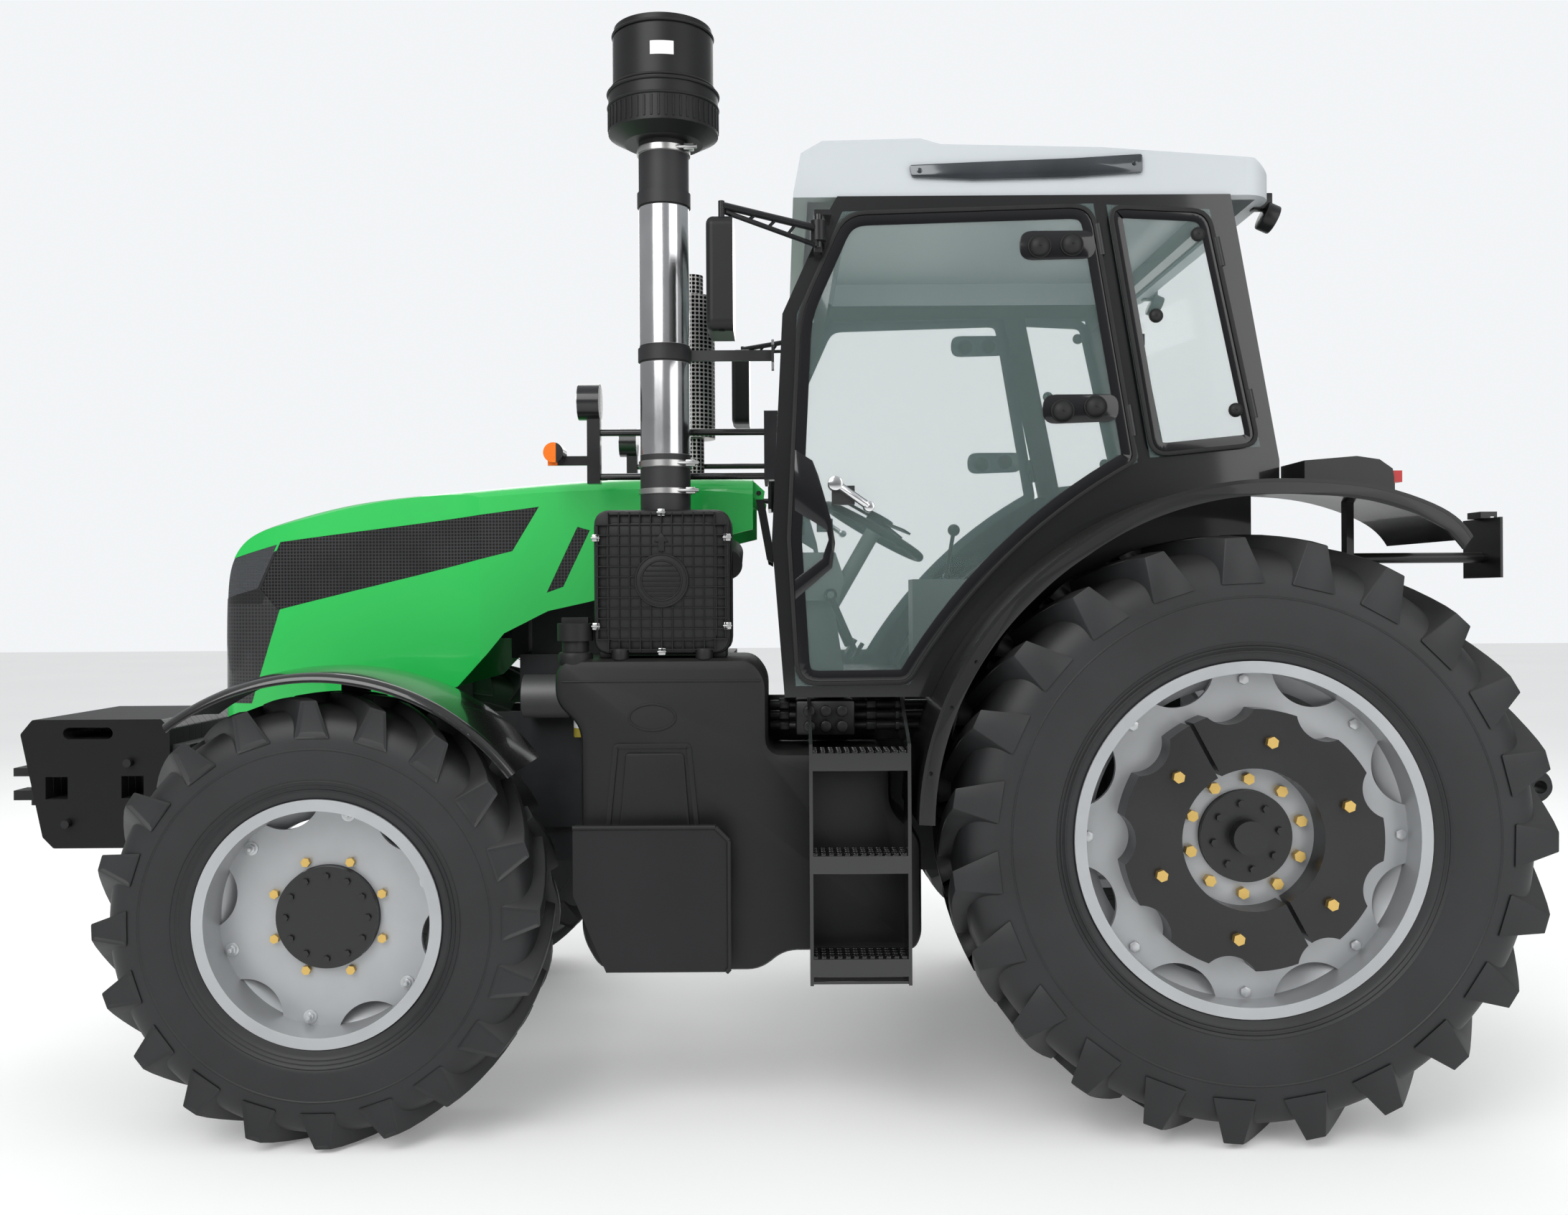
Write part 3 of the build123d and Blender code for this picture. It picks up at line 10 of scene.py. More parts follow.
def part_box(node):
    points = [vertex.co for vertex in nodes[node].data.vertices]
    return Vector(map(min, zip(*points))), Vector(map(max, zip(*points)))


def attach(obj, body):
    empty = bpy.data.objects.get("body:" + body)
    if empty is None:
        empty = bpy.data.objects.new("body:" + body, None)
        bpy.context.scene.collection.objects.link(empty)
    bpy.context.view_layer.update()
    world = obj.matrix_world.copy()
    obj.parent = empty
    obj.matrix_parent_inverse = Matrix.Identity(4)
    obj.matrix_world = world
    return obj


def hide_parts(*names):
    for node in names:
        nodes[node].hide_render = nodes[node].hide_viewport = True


bl_info = {
    "name": "Farm Tractor",
    "version": (1, 0, 0),
    "blender": (4, 5, 0),
    "location": "View3D > Sidebar > Tractor",
    "description": "Finishes a farm tractor: tyres, paint, glass, trim, seat and studio",
    "category": "Object",
}

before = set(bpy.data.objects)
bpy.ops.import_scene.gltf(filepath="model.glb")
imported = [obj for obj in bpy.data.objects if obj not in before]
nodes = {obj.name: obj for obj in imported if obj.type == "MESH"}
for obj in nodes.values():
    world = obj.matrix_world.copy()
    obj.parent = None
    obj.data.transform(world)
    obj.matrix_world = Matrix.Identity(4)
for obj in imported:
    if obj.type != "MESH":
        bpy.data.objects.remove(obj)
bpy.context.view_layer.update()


def box_centre(node):
    """The middle of a node's box."""
    low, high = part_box(node)
    return Vector([(a + b) / 2 for a, b in zip(low, high)])


REAR_HUB = box_centre("tyre_rear_left")
FRONT_HUB = box_centre("tyre_front_left")
REAR_RADIUS = (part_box("tyre_rear_left")[1][2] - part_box("tyre_rear_left")[0][2]) / 2
FRONT_RADIUS = (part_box("tyre_front_left")[1][2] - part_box("tyre_front_left")[0][2]) / 2


def colour(name, description, default):
    """A colour setting."""
    return FloatVectorProperty(
        name=name, description=description, subtype="COLOR", size=3, min=0, max=1, default=default
    )


def length(name, description, default):
    """A length setting in metres."""
    return FloatProperty(name=name, description=description, default=default, min=0, unit="LENGTH", precision=4)


class TyreSettings(PropertyGroup):
    """Sizes and colour of the tyres."""
    rubber: colour("Rubber", "Colour of the tyres", (0.0105, 0.0110, 0.0120))
    rear_lugs: IntProperty(name="Rear lugs", description="Lugs on each side of a rear tyre", default=23, min=8)
    front_lugs: IntProperty(name="Front lugs", description="Lugs on each side of a front tyre", default=20, min=8)
    lug_height: length("Lug height", "How far a lug stands above the casing", 0.038)
    sweep: length("Lug sweep", "How far a lug runs round the tyre from its end to the middle", 0.200)


class PaintSettings(PropertyGroup):
    """Colours of the painted, moulded and plated parts."""
    green: colour("Hood green", "Paint of the hood", (0.014, 0.500, 0.080))
    wheel: colour("Wheel silver", "Paint of the rims", (0.37, 0.38, 0.39))
    gloss_black: colour("Gloss black", "Cab frame and front mudguards", (0.0055, 0.0055, 0.006))
    casting: colour("Casting grey", "Paint of the castings", (0.020, 0.021, 0.022))
    moulding: colour("Black moulding", "Grained plastic of the tank and trim", (0.0095, 0.0095, 0.010))
    roof: colour("Roof grey", "Moulded roof", (0.47, 0.50, 0.52))
    zinc: colour("Yellow zinc", "Plating of the wheel bolts", (0.62, 0.42, 0.13))
    glass: colour("Glass tint", "Tint of the cab's glass", (0.30, 0.42, 0.40))
    cloth: colour("Seat cloth", "Cover of the seat", (0.020, 0.020, 0.023))


class StudioSettings(PropertyGroup):
    """The floor, the lights and the camera."""
    floor: colour("Floor", "Pale studio floor", (0.86, 0.86, 0.85))
    camera_height: length("Camera height", "Height of the camera above the floor", 1.568)
    camera_distance: length("Camera distance", "Distance from the machine's middle plane", 4.885)


# ---- modelling helpers --------------------------------------------------------------------------
def clear_selection():
    """Nothing selected and no edit mode left open."""
    if bpy.context.object and bpy.context.object.mode != "OBJECT":
        bpy.ops.object.mode_set(mode="OBJECT")
    bpy.ops.object.select_all(action="DESELECT")


def select_only(*objects):
    """Only these objects selected, the first one active."""
    clear_selection()
    for item in objects:
        item.select_set(True)
    bpy.context.view_layer.objects.active = objects[0]


def settle(item):
    """Bakes the object's place into its mesh."""
    select_only(item)
    bpy.ops.object.transform_apply(location=True, rotation=True, scale=True)


def join(name, *objects):
    """Joins objects into the first one and names it."""
    select_only(*objects)
    if len(objects) > 1:
        bpy.ops.object.join()
    objects[0].name = name
    objects[0].data.name = name
    return objects[0]


def shade(item, angle=35):
    """Smooth shading with hard edges kept past an angle."""
    select_only(item)
    bpy.ops.object.shade_smooth_by_angle(angle=radians(angle))


def apply_modifiers(item):
    """Applies every modifier on an object."""
    select_only(item)
    for modifier in list(item.modifiers):
        bpy.ops.object.modifier_apply(modifier=modifier.name)


def outward(item, merge=0.00005):
    """Merges doubles and turns every face outward."""
    select_only(item)
    bpy.ops.object.mode_set(mode="EDIT")
    bpy.ops.mesh.select_all(action="SELECT")
    bpy.ops.mesh.remove_doubles(threshold=merge)
    bpy.ops.mesh.normals_make_consistent(inside=False)
    bpy.ops.object.mode_set(mode="OBJECT")


def add_box(name, low, high, bevel=0.0, segments=2):
    """A box between two corners with bevelled edges."""
    clear_selection()
    centre = [(a + b) / 2 for a, b in zip(low, high)]
    bpy.ops.mesh.primitive_cube_add(size=1, location=centre, scale=[b - a for a, b in zip(low, high)])
    item = bpy.context.object
    item.name = name
    settle(item)
    if bevel:
        modifier = item.modifiers.new("edge", "BEVEL")
        modifier.width, modifier.segments = bevel, segments
        modifier.limit_method = "ANGLE"
        apply_modifiers(item)
    return item


def add_rod(name, start, end, radius, sides=32, bevel=0.0):
    """A round bar between two points."""
    clear_selection()
    start, end = Vector(start), Vector(end)
    line = end - start
    turn = line.to_track_quat("Z", "Y").to_euler()
    bpy.ops.mesh.primitive_cylinder_add(
        vertices=sides, radius=radius, depth=line.length, location=(start + end) / 2, rotation=turn
    )
    item = bpy.context.object
    item.name = name
    settle(item)
    if bevel:
        modifier = item.modifiers.new("edge", "BEVEL")
        modifier.width, modifier.segments = bevel, 2
        modifier.limit_method = "ANGLE"
        apply_modifiers(item)
    return item


def flipped(item, name):
    """A copy on the other side of the machine, with its own mesh."""
    copy = item.copy()
    copy.data = item.data.copy()
    bpy.context.collection.objects.link(copy)
    copy.name = copy.data.name = name
    copy.data.transform(Matrix.Scale(-1, 4, (0, 1, 0)))
    copy.data.flip_normals()
    return copy


def place(item, body, material, replaces=(), slot=None):
    """Gives a finished piece its material and its body, and hides the nodes it stands for."""
    item.data.materials.clear()
    item.data.materials.append(material)
    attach(item, body)
    if replaces:
        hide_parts(*replaces)
    return item


# ---- materials ----------------------------------------------------------------------------------
DUST = (0.30, 0.27, 0.22, 1)
FITTING_BLACK = (0.012, 0.012, 0.013)
DEEP_BLACK = (0.010, 0.010, 0.011)


def feed(link, value, socket):
    """Links a socket to another, or sets a plain value on it."""
    if isinstance(value, bpy.types.NodeSocket):
        link(value, socket)
    else:
        socket.default_value = value


def calc(n, link, operation, *values):
    """A Math node's answer."""
    node = n.new("ShaderNodeMath")
    node.operation = operation
    for value, socket in zip(values, node.inputs):
        feed(link, value, socket)
    return node.outputs[0]


def ramp(n, link, value, start, end, low=0, high=1):
    """A value carried from one range to another, held at its ends."""
    node = n.new("ShaderNodeMapRange")
    for label, given in (("Value", value), ("From Min", start), ("From Max", end), ("To Min", low), ("To Max", high)):
        feed(link, given, node.inputs[label])
    return node.outputs[0]


def mix(n, link, factor, first, second, colours=False):
    """One value, or one colour, blended into another."""
    node = n.new("ShaderNodeMix")
    if colours:
        node.data_type = "RGBA"
    for label, given in (("Factor", factor), ("A", first), ("B", second)):
        feed(link, given, node.inputs[label])
    return node.outputs["Result"]


def noise(n, link, scale, detail=2):
    """A soft noise over the surface."""
    node = n.new("ShaderNodeTexNoise")
    node.inputs["Detail"].default_value = detail
    link(object_point(n), node.inputs["Vector"])
    feed(link, scale, node.inputs["Scale"])
    return node.outputs["Fac"]


def object_point(n):
    """The place on the surface in the machine's own frame."""
    return n.new("ShaderNodeTexCoord").outputs["Object"]


def part_of(n, link, vector, axis):
    """A vector's X, Y or Z."""
    split = n.new("ShaderNodeSeparateXYZ")
    link(vector, split.inputs[0])
    return split.outputs[axis]


def along(n, link, vector, direction):
    """How far a vector reaches along a direction."""
    node = n.new("ShaderNodeVectorMath")
    node.operation = "DOT_PRODUCT"
    node.inputs[1].default_value = direction
    link(vector, node.inputs[0])
    return node.outputs["Value"]


def relief(n, link, height, strength, depth):
    """Raises a material's surface by a height, on top of any relief that it has."""
    node = n.new("ShaderNodeBump")
    node.inputs["Strength"].default_value, node.inputs["Distance"].default_value = strength, depth
    link(height, node.inputs["Height"])
    normal = n["Principled BSDF"].inputs["Normal"]
    if normal.links:
        link(normal.links[0].from_socket, node.inputs["Normal"])
    link(node.outputs["Normal"], normal)


def grain_group():
    """Colour drift, roughness drift and a fine raised grain over a surface."""
    if "surface grain" in bpy.data.node_groups:
        return bpy.data.node_groups["surface grain"]
    group = bpy.data.node_groups.new("surface grain", "ShaderNodeTree")
    face = group.interface
    face.new_socket("Color", in_out="INPUT", socket_type="NodeSocketColor")
    for label, default in (("Drift", 0.15), ("Patch Scale", 3.0), ("Grain Scale", 300.0), ("Roughness", 0.5),
                           ("Spread", 0.1), ("Dust", 0.0)):
        face.new_socket(label, in_out="INPUT", socket_type="NodeSocketFloat").default_value = default
    for label, kind in (("Color", "Color"), ("Roughness", "Float"), ("Height", "Float")):
        face.new_socket(label, in_out="OUTPUT", socket_type=f"NodeSocket{kind}")
    n, link = group.nodes, group.links.new
    given, sink = n.new("NodeGroupInput").outputs, n.new("NodeGroupOutput").inputs
    patch = noise(n, link, given["Patch Scale"], 5)
    darker, lighter = (calc(n, link, operation, 1, given["Drift"]) for operation in ("SUBTRACT", "ADD"))
    tone = n.new("ShaderNodeVectorMath")
    tone.operation = "SCALE"
    link(given["Color"], tone.inputs[0])
    link(ramp(n, link, patch, 0.3, 0.7, darker, lighter), tone.inputs["Scale"])
    faces_up = ramp(n, link, part_of(n, link, n.new("ShaderNodeNewGeometry").outputs["Normal"], "Z"), 0.1, 1)
    dusty = calc(n, link, "MULTIPLY", calc(n, link, "MULTIPLY", faces_up, given["Dust"]), patch)
    link(mix(n, link, dusty, tone.outputs[0], DUST, True), sink["Color"])
    centred = calc(n, link, "SUBTRACT", patch, 0.5)
    link(calc(n, link, "MULTIPLY_ADD", centred, given["Spread"], given["Roughness"]), sink["Roughness"])
    link(noise(n, link, given["Grain Scale"], 3), sink["Height"])
    return group


def new_material(name):
    """An empty material with its shader."""
    material = bpy.data.materials.new(name)
    material.use_nodes = True
    n = material.node_tree.nodes
    return material, n, material.node_tree.links.new, n["Principled BSDF"]


def finish(name, base, rough=0.5, metal=0.0, drift=0.15, patch=3.0, grain=300.0, bump=0.1, depth=0.0003,
           coat=0.0, dust=0.0, spread=0.15):
    """A painted, moulded or cast surface with drift in its colour and a fine grain."""
    material, n, link, shader = new_material(name)
    detail = n.new("ShaderNodeGroup")
    detail.node_tree = grain_group()
    for label, value in (("Color", (*base, 1)), ("Drift", drift), ("Patch Scale", patch), ("Grain Scale", grain),
                         ("Roughness", rough), ("Spread", spread), ("Dust", dust)):
        detail.inputs[label].default_value = value
    link(detail.outputs["Color"], shader.inputs["Base Color"])
    link(detail.outputs["Roughness"], shader.inputs["Roughness"])
    for label, value in (("Metallic", metal), ("Specular IOR Level", 0.28 if max(base) < 0.05 else 0.5),
                         ("Coat Weight", coat), ("Coat Roughness", 0.06)):
        shader.inputs[label].default_value = value
    relief(n, link, detail.outputs["Height"], bump, depth)
    return material


def paint_over(material, mask_builder, colour_value, rough=None, metal=None):
    """Changes a material's colour, roughness and metal where a mask is one."""
    n, link = material.node_tree.nodes, material.node_tree.links.new
    shader = n["Principled BSDF"]
    mask = mask_builder(n, link)
    base = shader.inputs["Base Color"]
    link(mix(n, link, mask, base.links[0].from_socket, (*colour_value, 1), True), base)
    for label, value in (("Roughness", rough), ("Metallic", metal)):
        if value is not None:
            socket = shader.inputs[label]
            before = socket.links[0].from_socket if socket.links else socket.default_value
            link(mix(n, link, mask, before, value), socket)


def step_between(n, link, value, low, high, soft=0.0008):
    """One where a value lies between two limits."""
    rise = ramp(n, link, value, low - soft, low + soft)
    return calc(n, link, "MULTIPLY", rise, ramp(n, link, value, high - soft, high + soft, 1, 0))


def height_bands(bands):
    """A mask that is one between pairs of heights."""
    def build(n, link):
        height, total = part_of(n, link, object_point(n), "Z"), 0
        for low, high in bands:
            total = calc(n, link, "MAXIMUM", total, step_between(n, link, height, low, high))
        return total
    return build


def wheel_ring(hub, low, high, out_from, out_to):
    """A mask for a ring about a wheel's axis, between two distances from the middle plane."""
    def build(n, link):
        point = object_point(n)
        x = calc(n, link, "SUBTRACT", part_of(n, link, point, "X"), hub.x)
        z = calc(n, link, "SUBTRACT", part_of(n, link, point, "Z"), hub.z)
        squares = calc(n, link, "ADD", calc(n, link, "MULTIPLY", x, x), calc(n, link, "MULTIPLY", z, z))
        ring = step_between(n, link, calc(n, link, "SQRT", squares), low, high)
        side = calc(n, link, "ABSOLUTE", part_of(n, link, point, "Y"))
        return calc(n, link, "MULTIPLY", ring, step_between(n, link, side, out_from, out_to))
    return build


def box_mask(x=None, y=None, z=None):
    """A mask that is one inside a box, which may be open along an axis."""
    def build(n, link):
        total = 1
        for axis, limits in (("X", x), ("Y", y), ("Z", z)):
            if limits:
                step = step_between(n, link, part_of(n, link, object_point(n), axis), *limits, 0.0006)
                total = calc(n, link, "MULTIPLY", total, step)
        return total
    return build


def side_mask(low, high):
    """A mask that is one where the distance from the middle plane lies between two limits."""
    def build(n, link):
        side = calc(n, link, "ABSOLUTE", part_of(n, link, object_point(n), "Y"))
        return step_between(n, link, side, low, high, 0.0002)
    return build


def layer_mask(direction, low, high, soft=0.0008):
    """A mask that is one between two distances along a direction."""
    return lambda n, link: step_between(n, link, along(n, link, object_point(n), direction), low, high, soft)


def slanted_mask(a, b, c):
    """A mask that is one where a x + b z is less than c."""
    return layer_mask((a, 0, b), -99, c)


def facing_mask(axis, least):
    """A mask that is one where a face looks along an axis."""
    def build(n, link):
        normal = n.new("ShaderNodeNewGeometry").outputs["Normal"]
        return step_between(n, link, along(n, link, normal, axis), least, 9)
    return build


def all_of(*builders):
    """A mask that is one where every mask of a list is one."""
    def build(n, link):
        total = 1
        for builder in builders:
            total = calc(n, link, "MULTIPLY", total, builder(n, link))
        return total
    return build


def all_but(builder):
    """The reverse of a mask."""
    return lambda n, link: calc(n, link, "SUBTRACT", 1, builder(n, link))


def add_pattern(material, kind, pitch, strength, depth, dark, where=None):
    """Sinks grooves between plates or a mesh's holes into a material, all over or where a mask is one, and paints shade
    into the grooves and holes in a dark colour.
    """
    n, link = material.node_tree.nodes, material.node_tree.links.new
    solid = 1
    for axis in {"plates": "Y", "mesh": "XZ"}[kind]:
        turn = calc(n, link, "MULTIPLY", part_of(n, link, object_point(n), axis), pi / pitch)
        solid = calc(n, link, "MULTIPLY", solid, calc(n, link, "ABSOLUTE", calc(n, link, "SINE", turn)))
    if kind == "plates":
        solid = ramp(n, link, solid, 0.06, 0.16)
    else:
        solid = ramp(n, link, solid, 0.35, 0.45, 1, 0)
    if where:
        solid = mix(n, link, where(n, link), 1, solid)
    relief(n, link, solid, strength, depth)
    base = n["Principled BSDF"].inputs["Base Color"]
    # painted shade: the grooves and holes take the dark colour
    link(mix(n, link, solid, (*dark, 1), base.links[0].from_socket, True), base)


def glass_material(name, tint, alpha=0.12, fittings=None):
    """Thin cab glass that lets the inside show. Fittings, picked out by a mask, are black and solid."""
    material, n, link, shader = new_material(name)
    haze = noise(n, link, 4)
    if fittings is None:
        shader.inputs["Base Color"].default_value = (*tint, 1)
        shader.inputs["Alpha"].default_value = alpha
        link(ramp(n, link, haze, 0, 1, 0.02, 0.07), shader.inputs["Roughness"])
        return material
    mask = fittings(n, link)
    link(mix(n, link, mask, alpha, 1), shader.inputs["Alpha"])
    link(mix(n, link, mask, (*tint, 1), (*FITTING_BLACK, 1), True), shader.inputs["Base Color"])
    link(mix(n, link, mask, ramp(n, link, haze, 0, 1, 0.01, 0.05), 0.4), shader.inputs["Roughness"])
    return material


MATERIALS = {}


def make_materials():
    """Builds every finish once."""
    paint, tyre = bpy.context.scene.tractor_paint, bpy.context.scene.tractor_tyres
    m = MATERIALS
    m["green"] = finish("hood green", paint.green, 0.30, drift=0.04, patch=1.5, grain=900, bump=0.02, coat=0.6,
                        spread=0.05)
    m["gloss"] = finish("gloss black", paint.gloss_black, 0.24, drift=0.2, patch=2, grain=700, bump=0.03, coat=0.8,
                        dust=0.03)
    m["casting"] = finish("cast grey", paint.casting, 0.55, drift=0.25, patch=6, grain=260, bump=0.35, depth=0.0006,
                          dust=0.05)
    m["ballast"] = finish("ballast black", FITTING_BLACK, 0.42, drift=0.25, patch=6, grain=220, bump=0.3,
                          depth=0.0006, dust=0.04)
    m["moulding"] = finish("black moulding", paint.moulding, 0.5, drift=0.15, patch=3, grain=520, bump=0.35,
                           depth=0.0005, dust=0.04)
    m["rubber"] = finish("tyre rubber", tyre.rubber, 0.52, drift=0.3, patch=5, grain=160, bump=0.3, depth=0.0006,
                         dust=0.05)
    m["rubber"].node_tree.nodes["Principled BSDF"].inputs["Specular IOR Level"].default_value = 0.45
    m["roof"] = finish("roof grey", paint.roof, 0.4, drift=0.04, patch=1.2, grain=650, bump=0.08, dust=0.03)
    m["chrome"] = finish("polished pipe", (0.62, 0.62, 0.63), 0.16, 1.0, drift=0.1, patch=5, grain=80, bump=0.02)
    m["steel"] = finish("brushed steel", (0.42, 0.42, 0.42), 0.32, 1.0, drift=0.2, patch=8, grain=300, bump=0.1)
    m["black_steel"] = finish("black bar", FITTING_BLACK, 0.35, drift=0.2, patch=8, grain=400, bump=0.1)
    m["mesh"] = finish("dark mesh", DEEP_BLACK, 0.5, drift=0.2, patch=8, grain=200, bump=0.2)
    m["aluminium"] = finish("cast aluminium", (0.45, 0.45, 0.45), 0.45, 0.9, drift=0.2, patch=8, grain=300, bump=0.2)
    m["cloth"] = finish("seat cloth", paint.cloth, 0.85, drift=0.25, patch=12, grain=900, bump=0.6, depth=0.0008)
    m["zinc"] = finish("yellow zinc", paint.zinc, 0.35, 0.85, drift=0.25, patch=30, grain=500, bump=0.1)
    m["plate"] = finish("guard plate", DEEP_BLACK, 0.48, drift=0.15, patch=3, grain=700, bump=0.12, dust=0.1)
    m["amber"] = finish("amber lens", (0.75, 0.20, 0.01), 0.2, drift=0.1, patch=30, grain=300, bump=0.2, coat=0.6)
    m["red"] = finish("red lens", (0.45, 0.01, 0.01), 0.2, drift=0.1, patch=30, grain=300, bump=0.2, coat=0.6)
    m["white"] = finish("filter white", (0.65, 0.66, 0.66), 0.35, drift=0.08, patch=10, grain=300, bump=0.05)
    m["lamp"] = finish("lamp reflector", (0.70, 0.72, 0.74), 0.12, 0.8, drift=0.2, patch=20, grain=60, bump=0.3,
                       depth=0.002, coat=1.0)
    m["mirror"] = finish("mirror glass", (0.75, 0.77, 0.78), 0.04, 1.0, drift=0.03, patch=3, grain=30, bump=0.0)
    m["glass"] = glass_material("cab glass", paint.glass)
    m["door_glass"] = glass_material("door glass", paint.glass, fittings=all_but(side_mask(0.8078, 0.8142)))
    back, hinge = Vector((0.9845, 0, 0.1750)), Vector((1.480, 0, 2.790))
    near = back.dot(hinge)
    pane = layer_mask(back, near + 0.0078, near + 0.0142, 0.0002)
    m["rear_glass"] = glass_material("rear glass", paint.glass, fittings=all_but(pane))
    m["print"] = finish("printed glass border", (0.006, 0.006, 0.007), 0.12, drift=0.1, patch=3, grain=900, bump=0.02,
                        coat=0.5)
    m["seal"] = finish("window seal", (0.012, 0.012, 0.012), 0.5, drift=0.15, patch=20, grain=600, bump=0.15)
    m["strip"] = finish("roof strip", (0.035, 0.040, 0.045), 0.12, 0.4, drift=0.5, patch=3, grain=900, bump=0.02,
                        coat=1.0)
    m["stud"] = finish("plated stud", (0.50, 0.51, 0.52), 0.35, 0.6, drift=0.15, patch=30, grain=500, bump=0.1)
    m["interior"] = finish("cab moulding", (0.16, 0.19, 0.18), 0.5, drift=0.08, patch=3, grain=500, bump=0.25,
                           dust=0.03)
    m["rear_lamp"] = finish("lamp body", FITTING_BLACK, 0.35, drift=0.15, patch=8, grain=400, bump=0.1)
    weights = m["wheel_weights"] = finish("wheel ballast", DEEP_BLACK, 0.36, drift=0.2, patch=5, grain=240,
                                          bump=0.4, depth=0.0008, coat=0.25, dust=0.08)
    paint_over(weights, side_mask(1.0790, 1.4), paint.zinc, 0.35, 0.85)
    # painted shade in the grooves between the ballast plates
    add_pattern(m["ballast"], "plates", 0.05, 0.9, 0.012, (0.002, 0.002, 0.002))
    meshed = m["grille"] = finish("grille mesh", (0.034, 0.034, 0.036), 0.36, drift=0.2, patch=6, grain=200, bump=0.05)
    # painted shade in the holes of the grille mesh
    add_pattern(meshed, "mesh", 0.011, 0.8, 0.004, (0.0015, 0.0015, 0.0016))
    paint_over(meshed, all_of(slanted_mask(1, -0.47, -2.411), box_mask(z=(1.560, 1.78))), (0.20, 0.21, 0.22), 0.10,
               0.85)
    nose = all_of(slanted_mask(1, -0.3226, -2.0745), slanted_mask(-0.206, 1, 1.950), box_mask(z=(1.225, 9)))
    paint_over(m["green"], nose, (0.028, 0.028, 0.030), 0.42)
    paint_over(m["green"],
               all_of(slanted_mask(1, -0.47, -2.374), slanted_mask(-0.313, 1, 2.236), box_mask(z=(1.56, 1.76))),
               DEEP_BLACK, 0.3)
    # painted shade in the holes of the black mesh on the hood's nose
    add_pattern(m["green"], "mesh", 0.012, 0.7, 0.004, (0.002, 0.002, 0.002), nose)
    rails = m["rails"] = finish("lamp rails", DEEP_BLACK, 0.28, drift=0.2, patch=8, grain=400, bump=0.1, coat=0.4)
    paint_over(rails, box_mask(x=(-0.66, -0.6085), z=(2.0, 2.08)), (0.80, 0.17, 0.01), 0.2, 0.0)
    paint_over(rails, box_mask(x=(-0.560, -0.5390), z=(2.12, 2.29)), (0.55, 0.57, 0.60), 0.15, 0.6)
    fenders = m["fenders"] = finish("rear fender black", paint.gloss_black, 0.38, drift=0.15, patch=3, grain=520,
                                    bump=0.12,
                                    depth=0.0004, coat=0.25, dust=0.10)
    paint_over(fenders, box_mask(x=(1.888, 1.930), z=(1.892, 1.940)), (0.42, 0.006, 0.006), 0.2, 0.0)
    paint_over(fenders, box_mask(x=(2.2695, 2.28), z=(1.60, 1.805)), (0.55, 0.56, 0.56), 0.4, 0.0)
    block = m["engine"] = finish("engine grey", (0.022, 0.023, 0.025), 0.5, drift=0.3, patch=7, grain=260, bump=0.35,
                                 depth=0.0006, dust=0.1)
    paint_over(block, box_mask(x=(-0.612, -0.508), y=(-0.330, -0.214), z=(1.13, 1.335)), (0.62, 0.63, 0.63), 0.35, 0.0)
    paint_over(block, box_mask(x=(-0.612, -0.508), y=(-0.330, -0.214), z=(1.09, 1.13)), (0.30, 0.24, 0.03), 0.3, 0.0)
    paint_over(block, box_mask(x=(-0.775, -0.615), y=(-0.375, -0.222), z=(1.16, 1.32)), (0.12, 0.12, 0.12), 0.5, 0.5)
    heads = m["mirror_head"] = finish("mirror housing", paint.moulding, 0.45, drift=0.12, patch=4, grain=520, bump=0.2)
    paint_over(heads, facing_mask((1, 0, 0), 0.90), (0.70, 0.72, 0.73), 0.05, 1.0)
    shield = m["exhaust"] = finish("exhaust guard", (0.36, 0.35, 0.34), 0.38, 1.0, drift=0.25, patch=6, grain=200,
                                   bump=0.1)
    # painted shade in the holes of the perforated exhaust guard
    add_pattern(shield, "mesh", 0.016, 0.8, 0.004, (0.004, 0.004, 0.004))
    cleaner = m["precleaner"] = finish("precleaner black", paint.moulding, 0.42, drift=0.15, patch=3, grain=520,
                                       bump=0.25)
    paint_over(cleaner, box_mask(x=(-0.272, -0.202), y=(-1.0, -0.86), z=(3.185, 3.225)), (0.75, 0.75, 0.74), 0.5, 0.0)
    for end, hub, inner, outer, face, cap in (
        ("rear", REAR_HUB, 0.140, 0.190, 0.9955, 0.1335), ("front", FRONT_HUB, 0.152, 0.190, 0.9595, 0.1495),
    ):
        rim = finish(f"{end} rim silver", paint.wheel, 0.34, 0.35, drift=0.08, patch=4, grain=500, bump=0.06, dust=0.04)
        paint_over(rim, wheel_ring(hub, inner, outer, face, 1.3), paint.zinc, 0.35, 0.8)
        paint_over(rim, wheel_ring(hub, -1, cap, 0.80, 1.3), paint.gloss_black, 0.35, 0.0)
        m[f"rim_{end}"] = rim
    pipe = finish("stack pipe", (0.60, 0.60, 0.61), 0.17, 1.0, drift=0.12, patch=5, grain=80, bump=0.02)
    hoses = [(1.80, 2.01), (2.29, 2.345), (2.765, 2.97)]
    paint_over(pipe, height_bands(hoses), FITTING_BLACK, 0.55, 0.0)
    clamps = [(1.889, 1.906), (1.971, 1.991), (2.929, 2.949)]
    paint_over(pipe, height_bands(clamps), (0.45, 0.45, 0.44), 0.3, 1.0)
    m["stack"] = pipe


